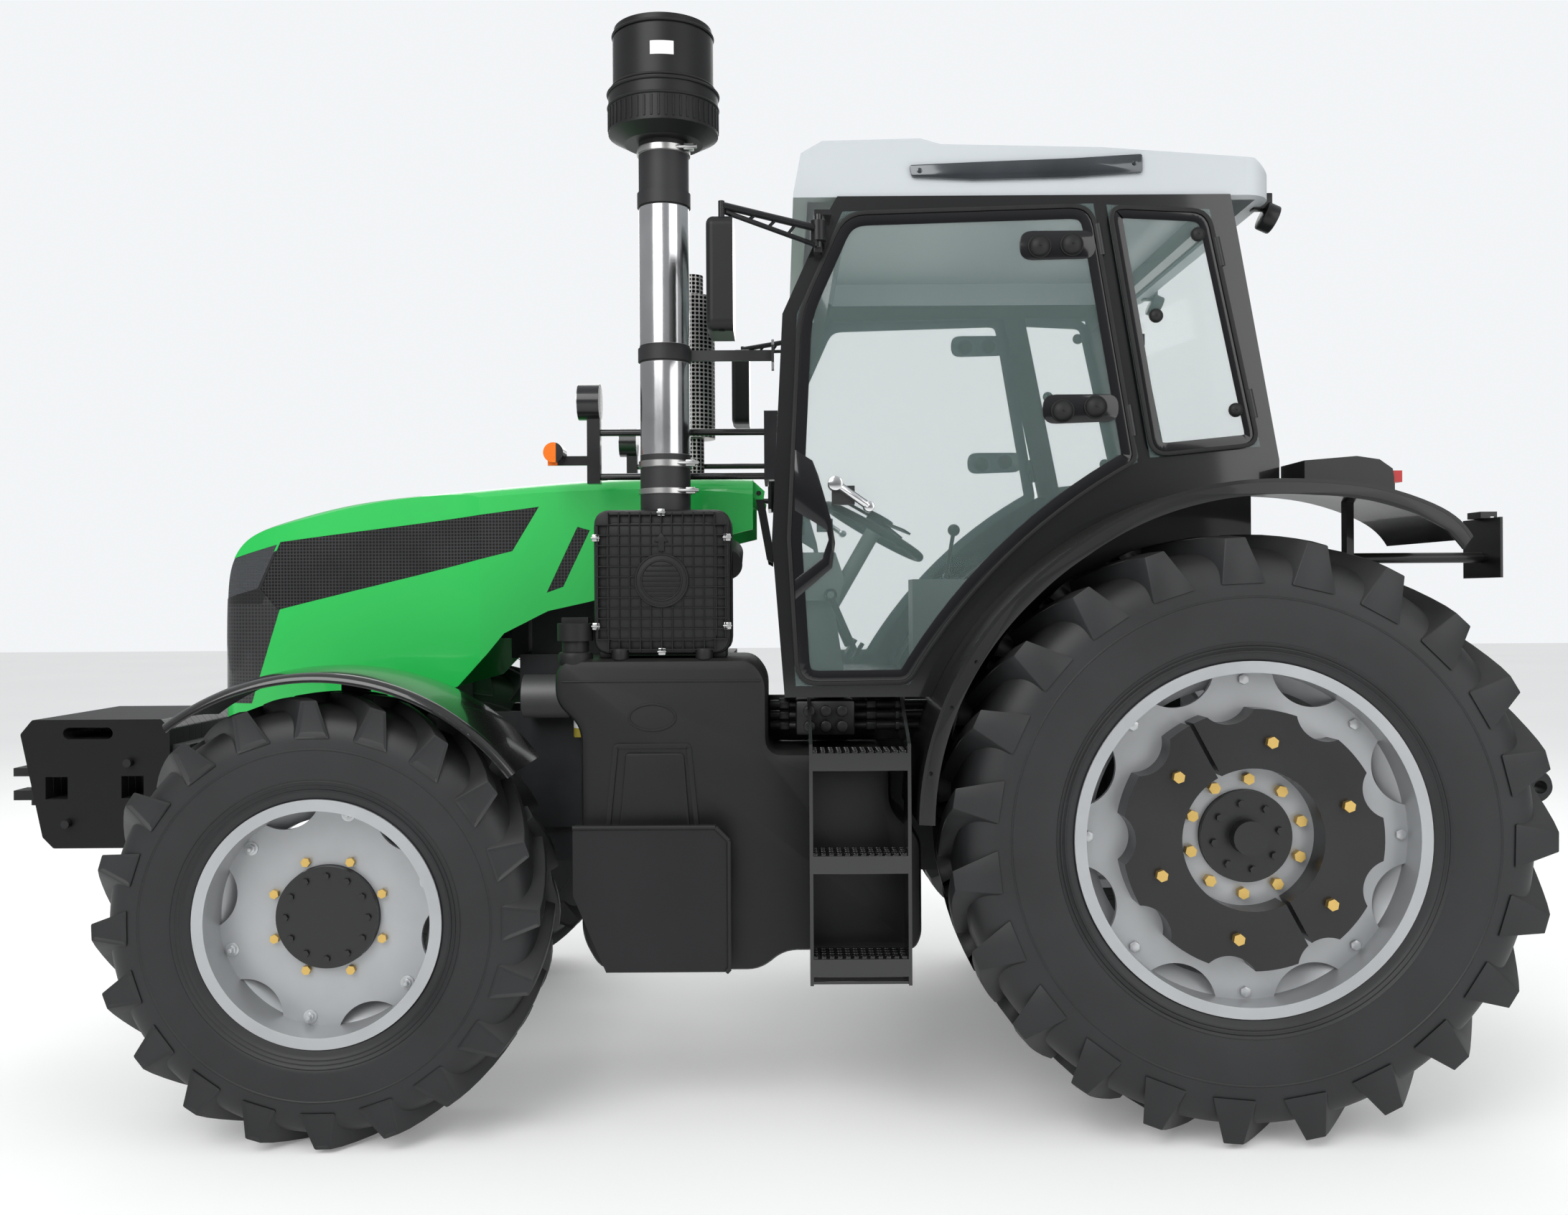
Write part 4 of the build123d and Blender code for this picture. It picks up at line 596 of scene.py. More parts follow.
NODE_FINISH = {
    "rim_rear_left": "rim_rear", "rim_rear_right": "rim_rear", "rim_front_left": "rim_front",
    "rim_front_right": "rim_front", "weights_rear_left": "wheel_weights", "weights_rear_right": "wheel_weights",
    "axle_beam": "casting", "knuckle_left": "casting", "knuckle_right": "casting",
    "front_fender_left": "gloss", "front_fender_right": "gloss", "front_frame": "casting",
    "front_weights": "ballast", "engine": "engine", "fan": "moulding", "radiator": "aluminium",
    "gearbox": "casting", "rear_axle": "casting", "fuel_tank": "moulding", "fuel_cap": "moulding",
    "battery_box": "plate", "air_cleaner_body": "moulding", "air_cleaner_cover": "moulding",
    "intake_pipe": "stack", "precleaner": "precleaner", "exhaust_stack": "exhaust", "steps": "gloss",
    "cab_frame": "gloss", "roof": "roof", "windshield": "glass", "rear_fenders": "fenders",
    "lamp_rails": "rails", "dashboard": "interior", "hood": "green", "grille": "grille",
    "door_left": "door_glass", "door_right": "door_glass", "quarter_window_left": "door_glass",
    "quarter_window_right": "door_glass", "rear_window": "rear_glass", "mirror_arm_left": "black_steel",
    "mirror_arm_right": "black_steel", "mirror_head_left": "mirror_head", "mirror_head_right": "mirror_head",
    "seat_base": "interior", "steering_wheel": "moulding", "clutch_pedal": "black_steel",
    "brake_pedals": "black_steel", "gear_lever": "moulding", "lift_arms": "casting", "lift_rods": "steel",
    "lower_links": "casting", "top_link": "steel", "drawbar": "casting", "pto_shaft": "steel",
}


class TRACTOR_OT_finishes(Operator):
    """Gives every carried-over part its finish"""
    bl_idname = "tractor.finishes"
    bl_label = "Paint and Mouldings"

    def execute(self, context):
        make_materials()
        for name, finish_name in NODE_FINISH.items():
            data = nodes[name].data
            data.materials.clear()
            data.materials.append(MATERIALS[finish_name])
        return {"FINISHED"}


# ---- tyres --------------------------------------------------------------------------------------
# The widest place's share of a side wall, and the rear tyre's crown and wall, which the lists are drawn for.
WIDEST_AT, MODEL_CROWN, MODEL_WALL = 0.45, 0.216, 0.3924


def softened(line, rounds=2):
    """An open line with its corners cut, which keeps its two ends."""
    for _ in range(rounds):
        cut = [line[0]]
        for (ax, az), (bx, bz) in zip(line, line[1:]):
            cut += [(ax * 0.75 + bx * 0.25, az * 0.75 + bz * 0.25), (ax * 0.25 + bx * 0.75, az * 0.25 + bz * 0.75)]
        line = cut + [line[-1]]
    return line


def with_ridge(line, at, height=0.0022, spread=0.0035):
    """The line with a small moulded ridge where it passes a radius."""
    out = []
    for start, end in zip(line, line[1:]):
        out.append(start)
        if end[1] <= at < start[1]:
            share = (start[1] - at) / (start[1] - end[1])
            reach = start[0] + (end[0] - start[0]) * share
            out += [(reach, at + spread), (reach + height, at + 0.001), (reach + height, at - 0.001),
                    (reach, at - spread)]
    ordered = [point for index, point in enumerate(out) if index == 0 or point[1] < out[index - 1][1] + 1e-6]
    return ordered + [line[-1]]


def casing_line(radius, half_section, bead, half_rim, lug):
    """Half of a tyre's outside line, as (outboard, radius), from the crown to the bead."""
    deep, wide, flange = radius - lug, bead + WIDEST_AT * (radius - bead), bead + 0.0256
    k = (radius - wide) / MODEL_CROWN
    span = wide - flange
    crown = [(0, 0), (0.40, 0.003), (0.62, 0.010), (0.77, 0.024), (0.88, 0.046), (0.955, 0.078), (0.992, 0.115)]
    line = [(half_section * share, deep - drop * k) for share, drop in crown]
    line += [(half_section - 0.0005, wide), (0.992 * half_section, wide - 0.28 * span)]
    line += [(0.965 * half_section, wide - 0.55 * span), (0.925 * half_section, wide - 0.8 * span)]
    line += [(half_rim + 0.004, flange + 0.005)]
    line = softened(line)
    for at in (wide + 0.031 * k, flange + 0.052, flange + 0.040, flange + 0.028):
        line = with_ridge(line, at)
    return line + [(half_rim - 0.0007, flange - 0.001), (half_rim - 0.0007, bead + 0.001)]


def make_lug(radius, half_section, bead, lug, settings, pocket):
    """One swept lug at the top of the tyre: a bar drawn out station by station to its flat end."""
    wide = bead + WIDEST_AT * (radius - bead)
    k = (radius - wide) / MODEL_CROWN
    reach = [-0.05, 0.20, 0.40, 0.60, 0.78, 0.935]
    drops = [0.0, 0.003, 0.010, 0.024, 0.034, 0.0]
    tips = [0.021, 0.022, 0.023, 0.0245, 0.026, 0.0285]
    feet = [0.034, 0.037, 0.041, 0.046, 0.052, 0.062]
    tip_drop = [0.0, 0.0, 0.001, 0.004, 0.008, 0.015]
    clear_selection()
    bpy.ops.mesh.primitive_cube_add(size=1, location=(0, 0, 0))
    bar = bpy.context.object
    settle(bar)
    for _ in range(4):
        for polygon in bar.data.polygons:
            polygon.select = polygon.normal.x > 0.9
        for vertex in bar.data.vertices:
            vertex.select = False
        bpy.ops.object.mode_set(mode="EDIT")
        bpy.ops.mesh.select_mode(type="FACE")
        bpy.ops.mesh.extrude_region_move(TRANSFORM_OT_translate={"value": (1, 0, 0)})
        bpy.ops.object.mode_set(mode="OBJECT")
    sweep = settings.sweep / radius
    for vertex in bar.data.vertices:
        station = int(round(vertex.co.x + 0.5))
        high, side = vertex.co.z > 0, 1 if vertex.co.y > 0 else -1
        out = reach[station] * half_section
        if high:
            height, width = radius - 0.0005 - tip_drop[station] * k, tips[station] * k
        elif station == 5:
            out, height, width = half_section + 0.0012, wide + 0.070 * k, feet[station] * k
        else:
            height, width = radius - lug - drops[station] * k - 0.004, feet[station] * k
        turned = sweep * (max(out, 0) / half_section) ** 0.9 + side * width / height
        vertex.co = (height * sin(turned), -out, height * cos(turned))
    outward(bar)
    if pocket:
        for polygon in bar.data.polygons:
            polygon.select = polygon.center.y < -0.90 * half_section and abs(polygon.normal.y) > 0.8
        bpy.ops.object.mode_set(mode="EDIT")
        bpy.ops.mesh.select_mode(type="FACE")
        bpy.ops.mesh.inset(thickness=0.010, depth=-0.006)
        bpy.ops.object.mode_set(mode="OBJECT")
    soften = bar.modifiers.new("edge", "BEVEL")
    soften.width, soften.segments, soften.limit_method, soften.angle_limit = 0.0025, 2, "ANGLE", radians(30)
    apply_modifiers(bar)
    return bar


def make_tyre(name, hub, radius, half_section, bead, half_rim, lugs, settings, pocket):
    """A left-hand tyre: a spun casing with moulded ridges, and swept lugs around it."""
    lug = settings.lug_height * (radius - bead) / MODEL_WALL
    half = casing_line(radius, half_section, bead, half_rim, lug)
    half += [(half_rim - 0.035, bead + 0.001), (half_rim - 0.035, bead + 0.06), (half_section - 0.05, bead + 0.13)]
    half += [(half_section * 0.75, radius - lug - 0.06), (0, radius - lug - 0.03)]
    full = half + [(-out, high) for out, high in reversed(half[1:-1])]
    clear_selection()
    bpy.ops.mesh.primitive_circle_add(vertices=len(full), radius=0.5)
    casing = bpy.context.object
    for vertex, (out, high) in zip(casing.data.vertices, full):
        vertex.co = (0, -out, high)
    bpy.ops.object.mode_set(mode="EDIT")
    bpy.ops.mesh.select_all(action="SELECT")
    bpy.ops.mesh.spin(steps=144, angle=2 * pi, center=(0, 0, 0), axis=(0, 1, 0))
    bpy.ops.object.mode_set(mode="OBJECT")
    outward(casing, 0.0002)
    bar = make_lug(radius, half_section, bead, lug, settings, pocket)
    parts = [casing]
    for index in range(lugs):
        for side in (0, 1):
            copy = bar.copy()
            copy.data = bar.data.copy()
            bpy.context.collection.objects.link(copy)
            if side:
                copy.data.transform(Matrix.Scale(-1, 4, (0, 1, 0)))
                copy.data.flip_normals()
            copy.data.transform(Matrix.Rotation(2 * pi * (index + 0.5 * side) / lugs, 4, "Y"))
            parts.append(copy)
    bpy.data.objects.remove(bar)
    tyre = join(name, *parts)
    tyre.data.transform(Matrix.Translation(hub))
    shade(tyre, 32)
    return tyre


class TRACTOR_OT_tyres(Operator):
    """Models the four lugged tyres"""
    bl_idname = "tractor.tyres"
    bl_label = "Tyres"

    def execute(self, context):
        settings = context.scene.tractor_tyres
        rear = make_tyre("lugged_tyre_rear_left", REAR_HUB, 0.875, 0.2335, 0.4826, 0.203, settings.rear_lugs, settings,
                         False)
        front = make_tyre("lugged_tyre_front_left", FRONT_HUB, 0.650, 0.189, 0.3302, 0.165, settings.front_lugs,
                          settings, True)
        for item, end in ((rear, "rear"), (front, "front")):
            other = flipped(item, f"lugged_tyre_{end}_right")
            for piece, side in ((item, "left"), (other, "right")):
                place(piece, f"{end}_wheel_{side}", MATERIALS["rubber"], (f"tyre_{end}_{side}",), "tyre")
        return {"FINISHED"}


# ---- cab trim -----------------------------------------------------------------------------------
def rounded(points, radius):
    """A closed outline with its sharp corners rounded."""
    out = []
    count = len(points)
    for index, point in enumerate(points):
        here = Vector(point)
        back, ahead = Vector(points[index - 1]) - here, Vector(points[(index + 1) % count]) - here
        bend = pi - back.angle(ahead)
        if bend < radians(18):
            out.append(tuple(here))
            continue
        cut = min(radius, back.length * 0.45, ahead.length * 0.45)
        start, end = here + back.normalized() * cut, here + ahead.normalized() * cut
        for step in range(6):
            t = step / 5
            spot = start * (1 - t) ** 2 + here * 2 * t * (1 - t) + end * t * t
            out.append(tuple(spot))
    return out


def arc_points(start, middle, end, steps=14):
    """Points on the arc through three side-view points, without its first and last."""
    (ax, ay), (bx, by), (cx, cy) = start, middle, end
    d = 2 * (ax * (by - cy) + bx * (cy - ay) + cx * (ay - by))
    ux = ((ax * ax + ay * ay) * (by - cy) + (bx * bx + by * by) * (cy - ay) + (cx * cx + cy * cy) * (ay - by)) / d
    uy = ((ax * ax + ay * ay) * (cx - bx) + (bx * bx + by * by) * (ax - cx) + (cx * cx + cy * cy) * (bx - ax)) / d
    centre = Vector((ux, uy))
    first, last = Vector(start) - centre, Vector(end) - centre
    turn = first.angle_signed(last)
    radius = first.length
    base = Vector((1, 0)).angle_signed(first)
    return [(ux + radius * cos(-base - turn * i / steps), uy + radius * sin(-base - turn * i / steps))
            for i in range(1, steps)]


def flat_piece(name, points, y, thick, band=None, bevel=0.0008):
    """A flat plate, or a frame of one band's width, that follows an outline in the side view."""
    clear_selection()
    bpy.ops.mesh.primitive_circle_add(vertices=len(points), radius=0.5, fill_type="NGON")
    item = bpy.context.object
    item.name = name
    settle(item)
    for vertex, (x, z) in zip(item.data.vertices, points):
        vertex.co = (x, y, z)
    if band:
        bpy.ops.object.mode_set(mode="EDIT")
        bpy.ops.mesh.select_all(action="SELECT")
        bpy.ops.mesh.inset(thickness=band, use_even_offset=True)
        bpy.ops.mesh.delete(type="FACE")
        bpy.ops.object.mode_set(mode="OBJECT")
    if item.data.polygons[0].normal.y > 0:
        item.data.flip_normals()
    wall = item.modifiers.new("wall", "SOLIDIFY")
    wall.thickness, wall.offset = thick, 1
    edge = item.modifiers.new("edge", "BEVEL")
    edge.width, edge.segments, edge.limit_method = bevel, 2, "ANGLE"
    apply_modifiers(item)
    return item


def add_ring(radius, thickness, segments, spot, turn=(0, 0, 0)):
    """A thin ring about a point."""
    clear_selection()
    bpy.ops.mesh.primitive_torus_add(major_radius=radius, minor_radius=thickness, major_segments=segments,
                                     minor_segments=10, location=spot, rotation=turn)
    settle(bpy.context.object)
    return bpy.context.object


def fit(name, parts, angle, body, finish_name, *replaced):
    """Joins parts into one piece, shades it and puts it on a body."""
    item = join(name, *parts)
    shade(item, angle)
    place(item, body, MATERIALS[finish_name], *replaced)


def fit_pair(name, parts, angle, left_body, right_body, finish_name):
    """Joins parts into the left piece, mirrors it and puts both on their bodies."""
    item = join(f"{name}_left", *parts)
    shade(item, angle)
    other = flipped(item, f"{name}_right")
    place(item, left_body, MATERIALS[finish_name])
    place(other, right_body, MATERIALS[finish_name])


BORDER_FACE, SEAL_FACE, TANK_FACE = -0.8146, -0.8152, -0.8990
DOOR = [(0.495, 1.305), (0.150, 1.302), (0.125, 1.750), (0.160, 2.430), (0.300, 2.740), (1.060, 2.760), (1.190, 1.975)]
QUARTER = [(1.100, 2.756), (1.412, 2.740), (1.562, 2.020), (1.228, 1.988)]


def dome(name, x, z, radius, y=-0.8165):
    """A round black glass fixing with a collar."""
    collar = add_rod(name, (x, y, z), (x, y - 0.007, z), radius * 1.08, 36, 0.002)
    clear_selection()
    bpy.ops.mesh.primitive_uv_sphere_add(segments=32, ring_count=16, radius=radius, location=(x, y - 0.005, z),
                                         scale=(1, 0.62, 1))
    ball = bpy.context.object
    settle(ball)
    pip = add_rod("pip", (x, y - 0.004 - radius * 0.6, z), (x, y - 0.008 - radius * 0.62, z), radius * 0.1, 12, 0.001)
    return join(name, collar, ball, pip)


class TRACTOR_OT_cab_trim(Operator):
    """Adds the doors' and side windows' printed borders, seals, fixings and door handle"""
    bl_idname = "tractor.cab_trim"
    bl_label = "Door and Window Trim"

    def execute(self, context):
        ring = DOOR + arc_points(DOOR[-1], (0.7761, 1.6686), DOOR[0])
        border = flat_piece("door_border", rounded(ring, 0.07), BORDER_FACE, 0.0010, 0.046, 0.0003)
        seal = flat_piece("door_seal", rounded(ring, 0.07), SEAL_FACE, 0.0060, 0.013, 0.002)
        handle_patch = [(0.150, 2.02), (0.205, 1.985), (0.222, 1.94), (0.262, 1.80), (0.272, 1.735), (0.262, 1.66),
                        (0.150, 1.565), (0.150, 1.625), (0.232, 1.690), (0.252, 1.745), (0.246, 1.775), (0.150, 1.835)]
        patch = flat_piece("door_patch", handle_patch, -0.8150, 0.0012, None, 0.0003)
        pads = []
        for x, z, slope in ((0.945, 2.632, 0.02), (1.012, 2.136, 0.03)):
            pads.append(flat_piece("door_pad", rounded([(x - 0.11, z - 0.045), (x + 0.12, z - 0.045 + slope / 4),
                                                        (x + 0.12, z + 0.045), (x - 0.11, z + 0.045)], 0.045),
                                   -0.8151, 0.0014, None, 0.0003))
        knobs = [dome("knob", *spot, 0.033) for spot in ((0.895, 2.629), (0.993, 2.634), (0.962, 2.130),
                                                         (1.062, 2.142))]
        grip = add_rod("door_grip", (0.285, -0.852, 1.905), (0.372, -0.862, 1.842), 0.0125, 24, 0.004)
        boss = add_rod("door_boss", (0.272, -0.8145, 1.912), (0.272, -0.868, 1.912), 0.022, 28, 0.004)
        foot = add_rod("door_foot", (0.372, -0.8145, 1.842), (0.372, -0.872, 1.842), 0.016, 28, 0.004)
        trim = join("door_trim_left", border, patch, *pads)
        rubber = join("door_seal_left", seal, *knobs)
        lever = join("door_lever_left", grip, boss, foot)
        pane = rounded(QUARTER, 0.055)
        q_border = flat_piece("quarter_border_left", pane, BORDER_FACE, 0.0010, 0.040, 0.0003)
        q_seal = flat_piece("quarter_seal", pane, SEAL_FACE, 0.0060, 0.013, 0.002)
        q_knobs = [dome("knob", *spot, 0.020) for spot in ((1.374, 2.662), (1.246, 2.417), (1.485, 2.130))]
        q_rubber = join("quarter_seal_left", q_seal, *q_knobs)
        for item, angle in ((trim, 30), (rubber, 40), (lever, 40), (q_border, 30), (q_rubber, 40)):
            shade(item, angle)
        for item, body, finish_name in ((trim, "door", "print"), (rubber, "door", "seal"), (lever, "door", "chrome"),
                                        (q_border, "quarter_window", "print"), (q_rubber, "quarter_window", "seal")):
            other = flipped(item, item.name.replace("_left", "_right"))
            place(item, f"{body}_left", MATERIALS[finish_name])
            place(other, f"{body}_right", MATERIALS[finish_name])
        strip_line = [(0.512, 2.846), (0.700, 2.836), (1.000, 2.842), (1.214, 2.856), (1.214, 2.914), (1.000, 2.902),
                      (0.700, 2.892), (0.504, 2.884)]
        strip = flat_piece("roof_strip_left", rounded(strip_line, 0.01), -0.7902, 0.012, None, 0.003)
        screws = [add_rod("screw", (x, -0.802, z), (x, -0.8055, z), 0.008, 20, 0.001) for x,
                  z in ((0.535, 2.866), (1.190, 2.886))]
        fit_pair("roof_strip", [strip, *screws], 30, "chassis", "chassis", "strip")
        for side, sign in (("left", -1), ("right", 1)):
            lamp = add_rod("lamp", (1.632, sign * 0.640, 2.770), (1.672, sign * 0.640, 2.752), 0.045, 36, 0.005)
            arm = add_box("arm", (1.600, sign * 0.640 - 0.02, 2.785), (1.660, sign * 0.640 + 0.02, 2.835), 0.003)
            fit(f"roof_lamp_{side}", [lamp, arm], 40, "chassis", "rear_lamp")
        return {"FINISHED"}


# ---- tank, air cleaner, steps and small fittings --------------------------------------------------
class TRACTOR_OT_air_cleaner(Operator):
    """Models the air cleaner's housing and ribbed cover, its clips and drain valves"""
    bl_idname = "tractor.air_cleaner"
    bl_label = "Air Cleaner Cover"

    def execute(self, context):
        low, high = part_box("air_cleaner_cover")
        x0, x1, z0, z1 = low[0] - 0.008, high[0] + 0.008, low[2] - 0.008, high[2] + 0.008
        face = high[1] - 0.024
        rim = rounded([(x0, z0), (x1, z0), (x1, z1), (x0, z1)], 0.050)
        lid = flat_piece("lid", rim, high[1] - 0.0003, 0.016, None, 0.004)
        inner = [(x0 + 0.034, z0 + 0.034), (x1 - 0.034, z0 + 0.034), (x1 - 0.034, z1 - 0.034), (x0 + 0.034, z1 - 0.034)]
        raised = flat_piece("raised", rounded(inner, 0.030), face + 0.010, 0.010, None, 0.006)
        parts = [lid, raised]
        across, up = 13, 14
        for index in range(across):
            x = x0 + 0.010 + (x1 - x0 - 0.020) * index / (across - 1)
            short = 0.045 if index in (0, across - 1) else 0.004
            parts.append(add_box("rib", (x - 0.0016, face - 0.005, z0 + short), (x + 0.0016, face + 0.010, z1 - short),
                                 0.0008, 1))
        for index in range(up):
            z = z0 + 0.010 + (z1 - z0 - 0.020) * index / (up - 1)
            short = 0.045 if index in (0, up - 1) else 0.004
            parts.append(add_box("rib", (x0 + short, face - 0.005, z - 0.0016), (x1 - short, face + 0.010, z + 0.0016),
                                 0.0008, 1))
        cx, cz = (x0 + x1) / 2, (z0 + z1) / 2 + 0.004
        parts.append(add_rod("disc", (cx, face + 0.002, cz), (cx, face - 0.0065, cz), 0.078, 64, 0.002))
        for radius in (0.078, 0.060):
            parts.append(add_ring(radius, 0.003, 64, (cx, face - 0.0065, cz), (pi / 2, 0, 0)))
        for index in range(-3, 4):
            half, z = (0.056 ** 2 - (index * 0.015) ** 2) ** 0.5, cz + index * 0.015
            parts.append(add_box("bar", (cx - half, face - 0.0095, z - 0.002), (cx + half, face - 0.004, z + 0.002),
                                 0.001, 1))
        arrow = [(cx, cz + 0.142), (cx + 0.021, cz + 0.116), (cx + 0.009, cz + 0.116), (cx + 0.009, cz + 0.088),
                 (cx - 0.009, cz + 0.088), (cx - 0.009, cz + 0.116), (cx - 0.021, cz + 0.116)]
        parts.append(flat_piece("arrow", arrow, face + 0.001, 0.0065, None, 0.001))
        for x in (x0 + 0.075, x1 - 0.075):
            parts.append(add_rod("valve", (x, face + 0.012, z0 + 0.014), (x, face + 0.012, z0 - 0.022), 0.026, 32,
                                 0.006))
            clear_selection()
            bpy.ops.mesh.primitive_cone_add(vertices=32, radius1=0.006, radius2=0.026, depth=0.030,
                                            location=(x, face + 0.012, z0 - 0.036))
            settle(bpy.context.object)
            parts.append(bpy.context.object)
        fit("ribbed_cleaner_cover", parts, 30, "chassis", "moulding", ("air_cleaner_cover",), "black_plastic")
        low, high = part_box("air_cleaner_body")
        left, right, bottom, top = low[0] + 0.0005, -0.0435, 1.4025, high[2] - 0.0005
        outline = rounded([(left, bottom), (right, bottom), (right, top), (left, top)], 0.050)
        body = flat_piece("cleaner_housing", outline, -0.651, 0.198, None, 0.012)
        belts = [flat_piece("belt", outline, y, 0.006, None, 0.001) for y in (-0.700, -0.760)]
        neck = add_rod("neck", (-0.063, -0.600, 1.677), (-0.063, -0.660, 1.677), 0.0478, 40, 0.003)
        elbow = add_rod("elbow", (-0.063, -0.607, 1.675), (-0.063, -0.470, 1.720), 0.0470, 40, 0.003)
        feet = [add_box("foot", (x, -0.840, 1.3915), (x + 0.040, -0.660, 1.420), 0.004) for x in (-0.440, -0.100)]
        fit("cleaner_housing", [body, *belts, neck, elbow, *feet], 30, "chassis", "moulding", ("air_cleaner_body",),
            "black_plastic")
        clips = []
        for x, z in ((cx, z1 - 0.004), (cx, z0 + 0.004), (x0 + 0.004, z1 - 0.080), (x0 + 0.004, z0 + 0.080),
                     (x1 - 0.004, z1 - 0.080), (x1 - 0.004, z0 + 0.080)):
            clips.append(add_box("clip", (x - 0.011, face - 0.003, z - 0.011), (x + 0.011, face + 0.004, z + 0.011),
                                 0.003))
            clips.append(add_rod("loop", (x - 0.013, face - 0.004, z), (x + 0.013, face - 0.004, z), 0.003, 12, 0.001))
        fit("cleaner_clips", clips, 40, "chassis", "steel")
        return {"FINISHED"}


class TRACTOR_OT_tank(Operator):
    """Models the rounded fuel tank with its panel, blank badge and edged guard plate"""
    bl_idname = "tractor.tank"
    bl_label = "Fuel Tank"

    def execute(self, context):
        outline = [(-0.436, 0.461), (0.040, 0.461), (0.110, 0.518), (0.500, 0.518), (0.520, 0.560), (0.520, 0.860),
                   (0.430, 0.940), (0.430, 1.110), (0.065, 1.110), (0.065, 1.330), (0.020, 1.391), (-0.540, 1.391),
                   (-0.568, 1.350), (-0.568, 1.260), (-0.492, 1.190), (-0.492, 0.560)]
        tank = flat_piece("moulded_fuel_tank", rounded(outline, 0.045), -0.420, 0.480, None, 0.030)
        low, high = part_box("fuel_tank")
        neck = add_rod("neck", (-0.512, -0.845, 1.36), (-0.512, -0.845, high[2]), 0.040, 40, 0.003)
        collar = add_rod("collar", (-0.512, -0.845, 1.37), (-0.512, -0.845, 1.412), 0.052, 40, 0.010)
        panel = flat_piece("panel",
                           rounded([(-0.356, 1.112), (-0.184, 1.112), (-0.166, 0.870), (-0.378, 0.870)], 0.012),
                           TANK_FACE, 0.0075, None, 0.005)
        rim = flat_piece("rim", rounded([(-0.392, 1.140), (-0.163, 1.140), (-0.138, 0.870), (-0.420, 0.870)], 0.015),
                         TANK_FACE, 0.0050, 0.014, 0.002)
        oval = [(-0.277 + 0.072 * cos(2 * pi * i / 40), 1.218 + 0.042 * sin(2 * pi * i / 40)) for i in range(40)]
        badge = flat_piece("badge", oval, TANK_FACE, 0.0040, 0.006, 0.0012)
        edge = add_box("rib", (-0.545, -0.903, 1.322), (0.045, -0.870, 1.328), 0.002, 2)
        fit("moulded_fuel_tank", [tank, neck, collar, panel, rim, badge, edge], 35, "chassis", "moulding",
            ("fuel_tank",), "black_plastic")
        line = [(-0.508, 0.900), (-0.090, 0.900), (-0.050, 0.860), (-0.050, 0.485), (-0.060, 0.475)]
        parts = []
        for start, end in zip(line, line[1:]):
            parts.append(add_rod("edging", (start[0], -0.9505, start[1]), (end[0], -0.9505, end[1]), 0.0075, 12))
        fit("guard_edging", parts, 60, "chassis", "seal")
        return {"FINISHED"}


BOARD_FROM, BOARD_TO = 0.1885, 0.4715
RISER, TREAD = (1.0335, 1.0395), (0.985, 1.030)
LOWEST_TREAD = (0.4595, 0.4695)
LIP_ARC = [(3, 950), (12, 956), (24, 962), (36, 966), (48, 970), (60, 980), (73, 1000), (88, 1020), (100, 1038),
           (109, 1062), (117, 1078), (122, 1080), (126, 1060)]
LIP_EDGE, LIP_WIDTH, BOLT_REACH = 3, 46, 935


def tread_teeth(side, sign):
    """One side's step boards and the rows of teeth on its treads."""
    def board(across, low, high):
        near, far = sorted(sign * y for y in across)
        return add_box("board", (BOARD_FROM, near, low), (BOARD_TO, far, high), 0.0015, 1)

    teeth = []
    for z in (1.124, 0.829, 0.534):
        for y in (1.036, 1.000, 0.974, 0.948):
            near, far = sorted((sign * y, sign * (y - 0.004)))
            tooth = add_box("tooth", (0.194, near, z - 0.004), (0.207, far, z + 0.008), 0.0025, 2)
            row = tooth.modifiers.new("row", "ARRAY")
            row.use_relative_offset, row.use_constant_offset = False, True
            row.constant_offset_displace, row.count = (0.0232, 0, 0), 12
            apply_modifiers(tooth)
            teeth.append(tooth)
        teeth.append(board(RISER, z - 0.052, z - 0.010))
    teeth.append(board(TREAD, *LOWEST_TREAD))
    fit(f"tread_teeth_{side}", teeth, 40, "chassis", "gloss")


def lip_spot(turn, reach):
    """A place round the rear hub, by its turn in degrees and its reach in millimetres."""
    return REAR_HUB.x - reach / 1000 * cos(radians(turn)), REAR_RADIUS + reach / 1000 * sin(radians(turn))


def mudguard_lips():
    """The bolted lips along the edges of the inner mudguards."""
    steps, line = 6, []
    for (turn, reach), (next_turn, next_reach) in zip(LIP_ARC, LIP_ARC[1:]):
        line += [(turn + (next_turn - turn) * i / steps, reach + (next_reach - reach) * i / steps)
                 for i in range(steps)]
    line = softened(line + [LIP_ARC[-1]], 2)
    outline = [lip_spot(turn, reach - LIP_EDGE) for turn, reach in line]
    outline += [lip_spot(turn, reach - LIP_WIDTH) for turn, reach in reversed(line)]
    parts = [flat_piece("mudguard_lip_left", outline, -1.0765, 0.008, None, 0.002)]
    for turn in (12, 24, 33):
        x, z = lip_spot(turn, BOLT_REACH)
        parts.append(add_rod("bolt", (x, -1.083, z), (x, -1.0845, z), 0.007, 16, 0.001))
    fit_pair("mudguard_lip", parts, 30, "chassis", "chassis", "fenders")


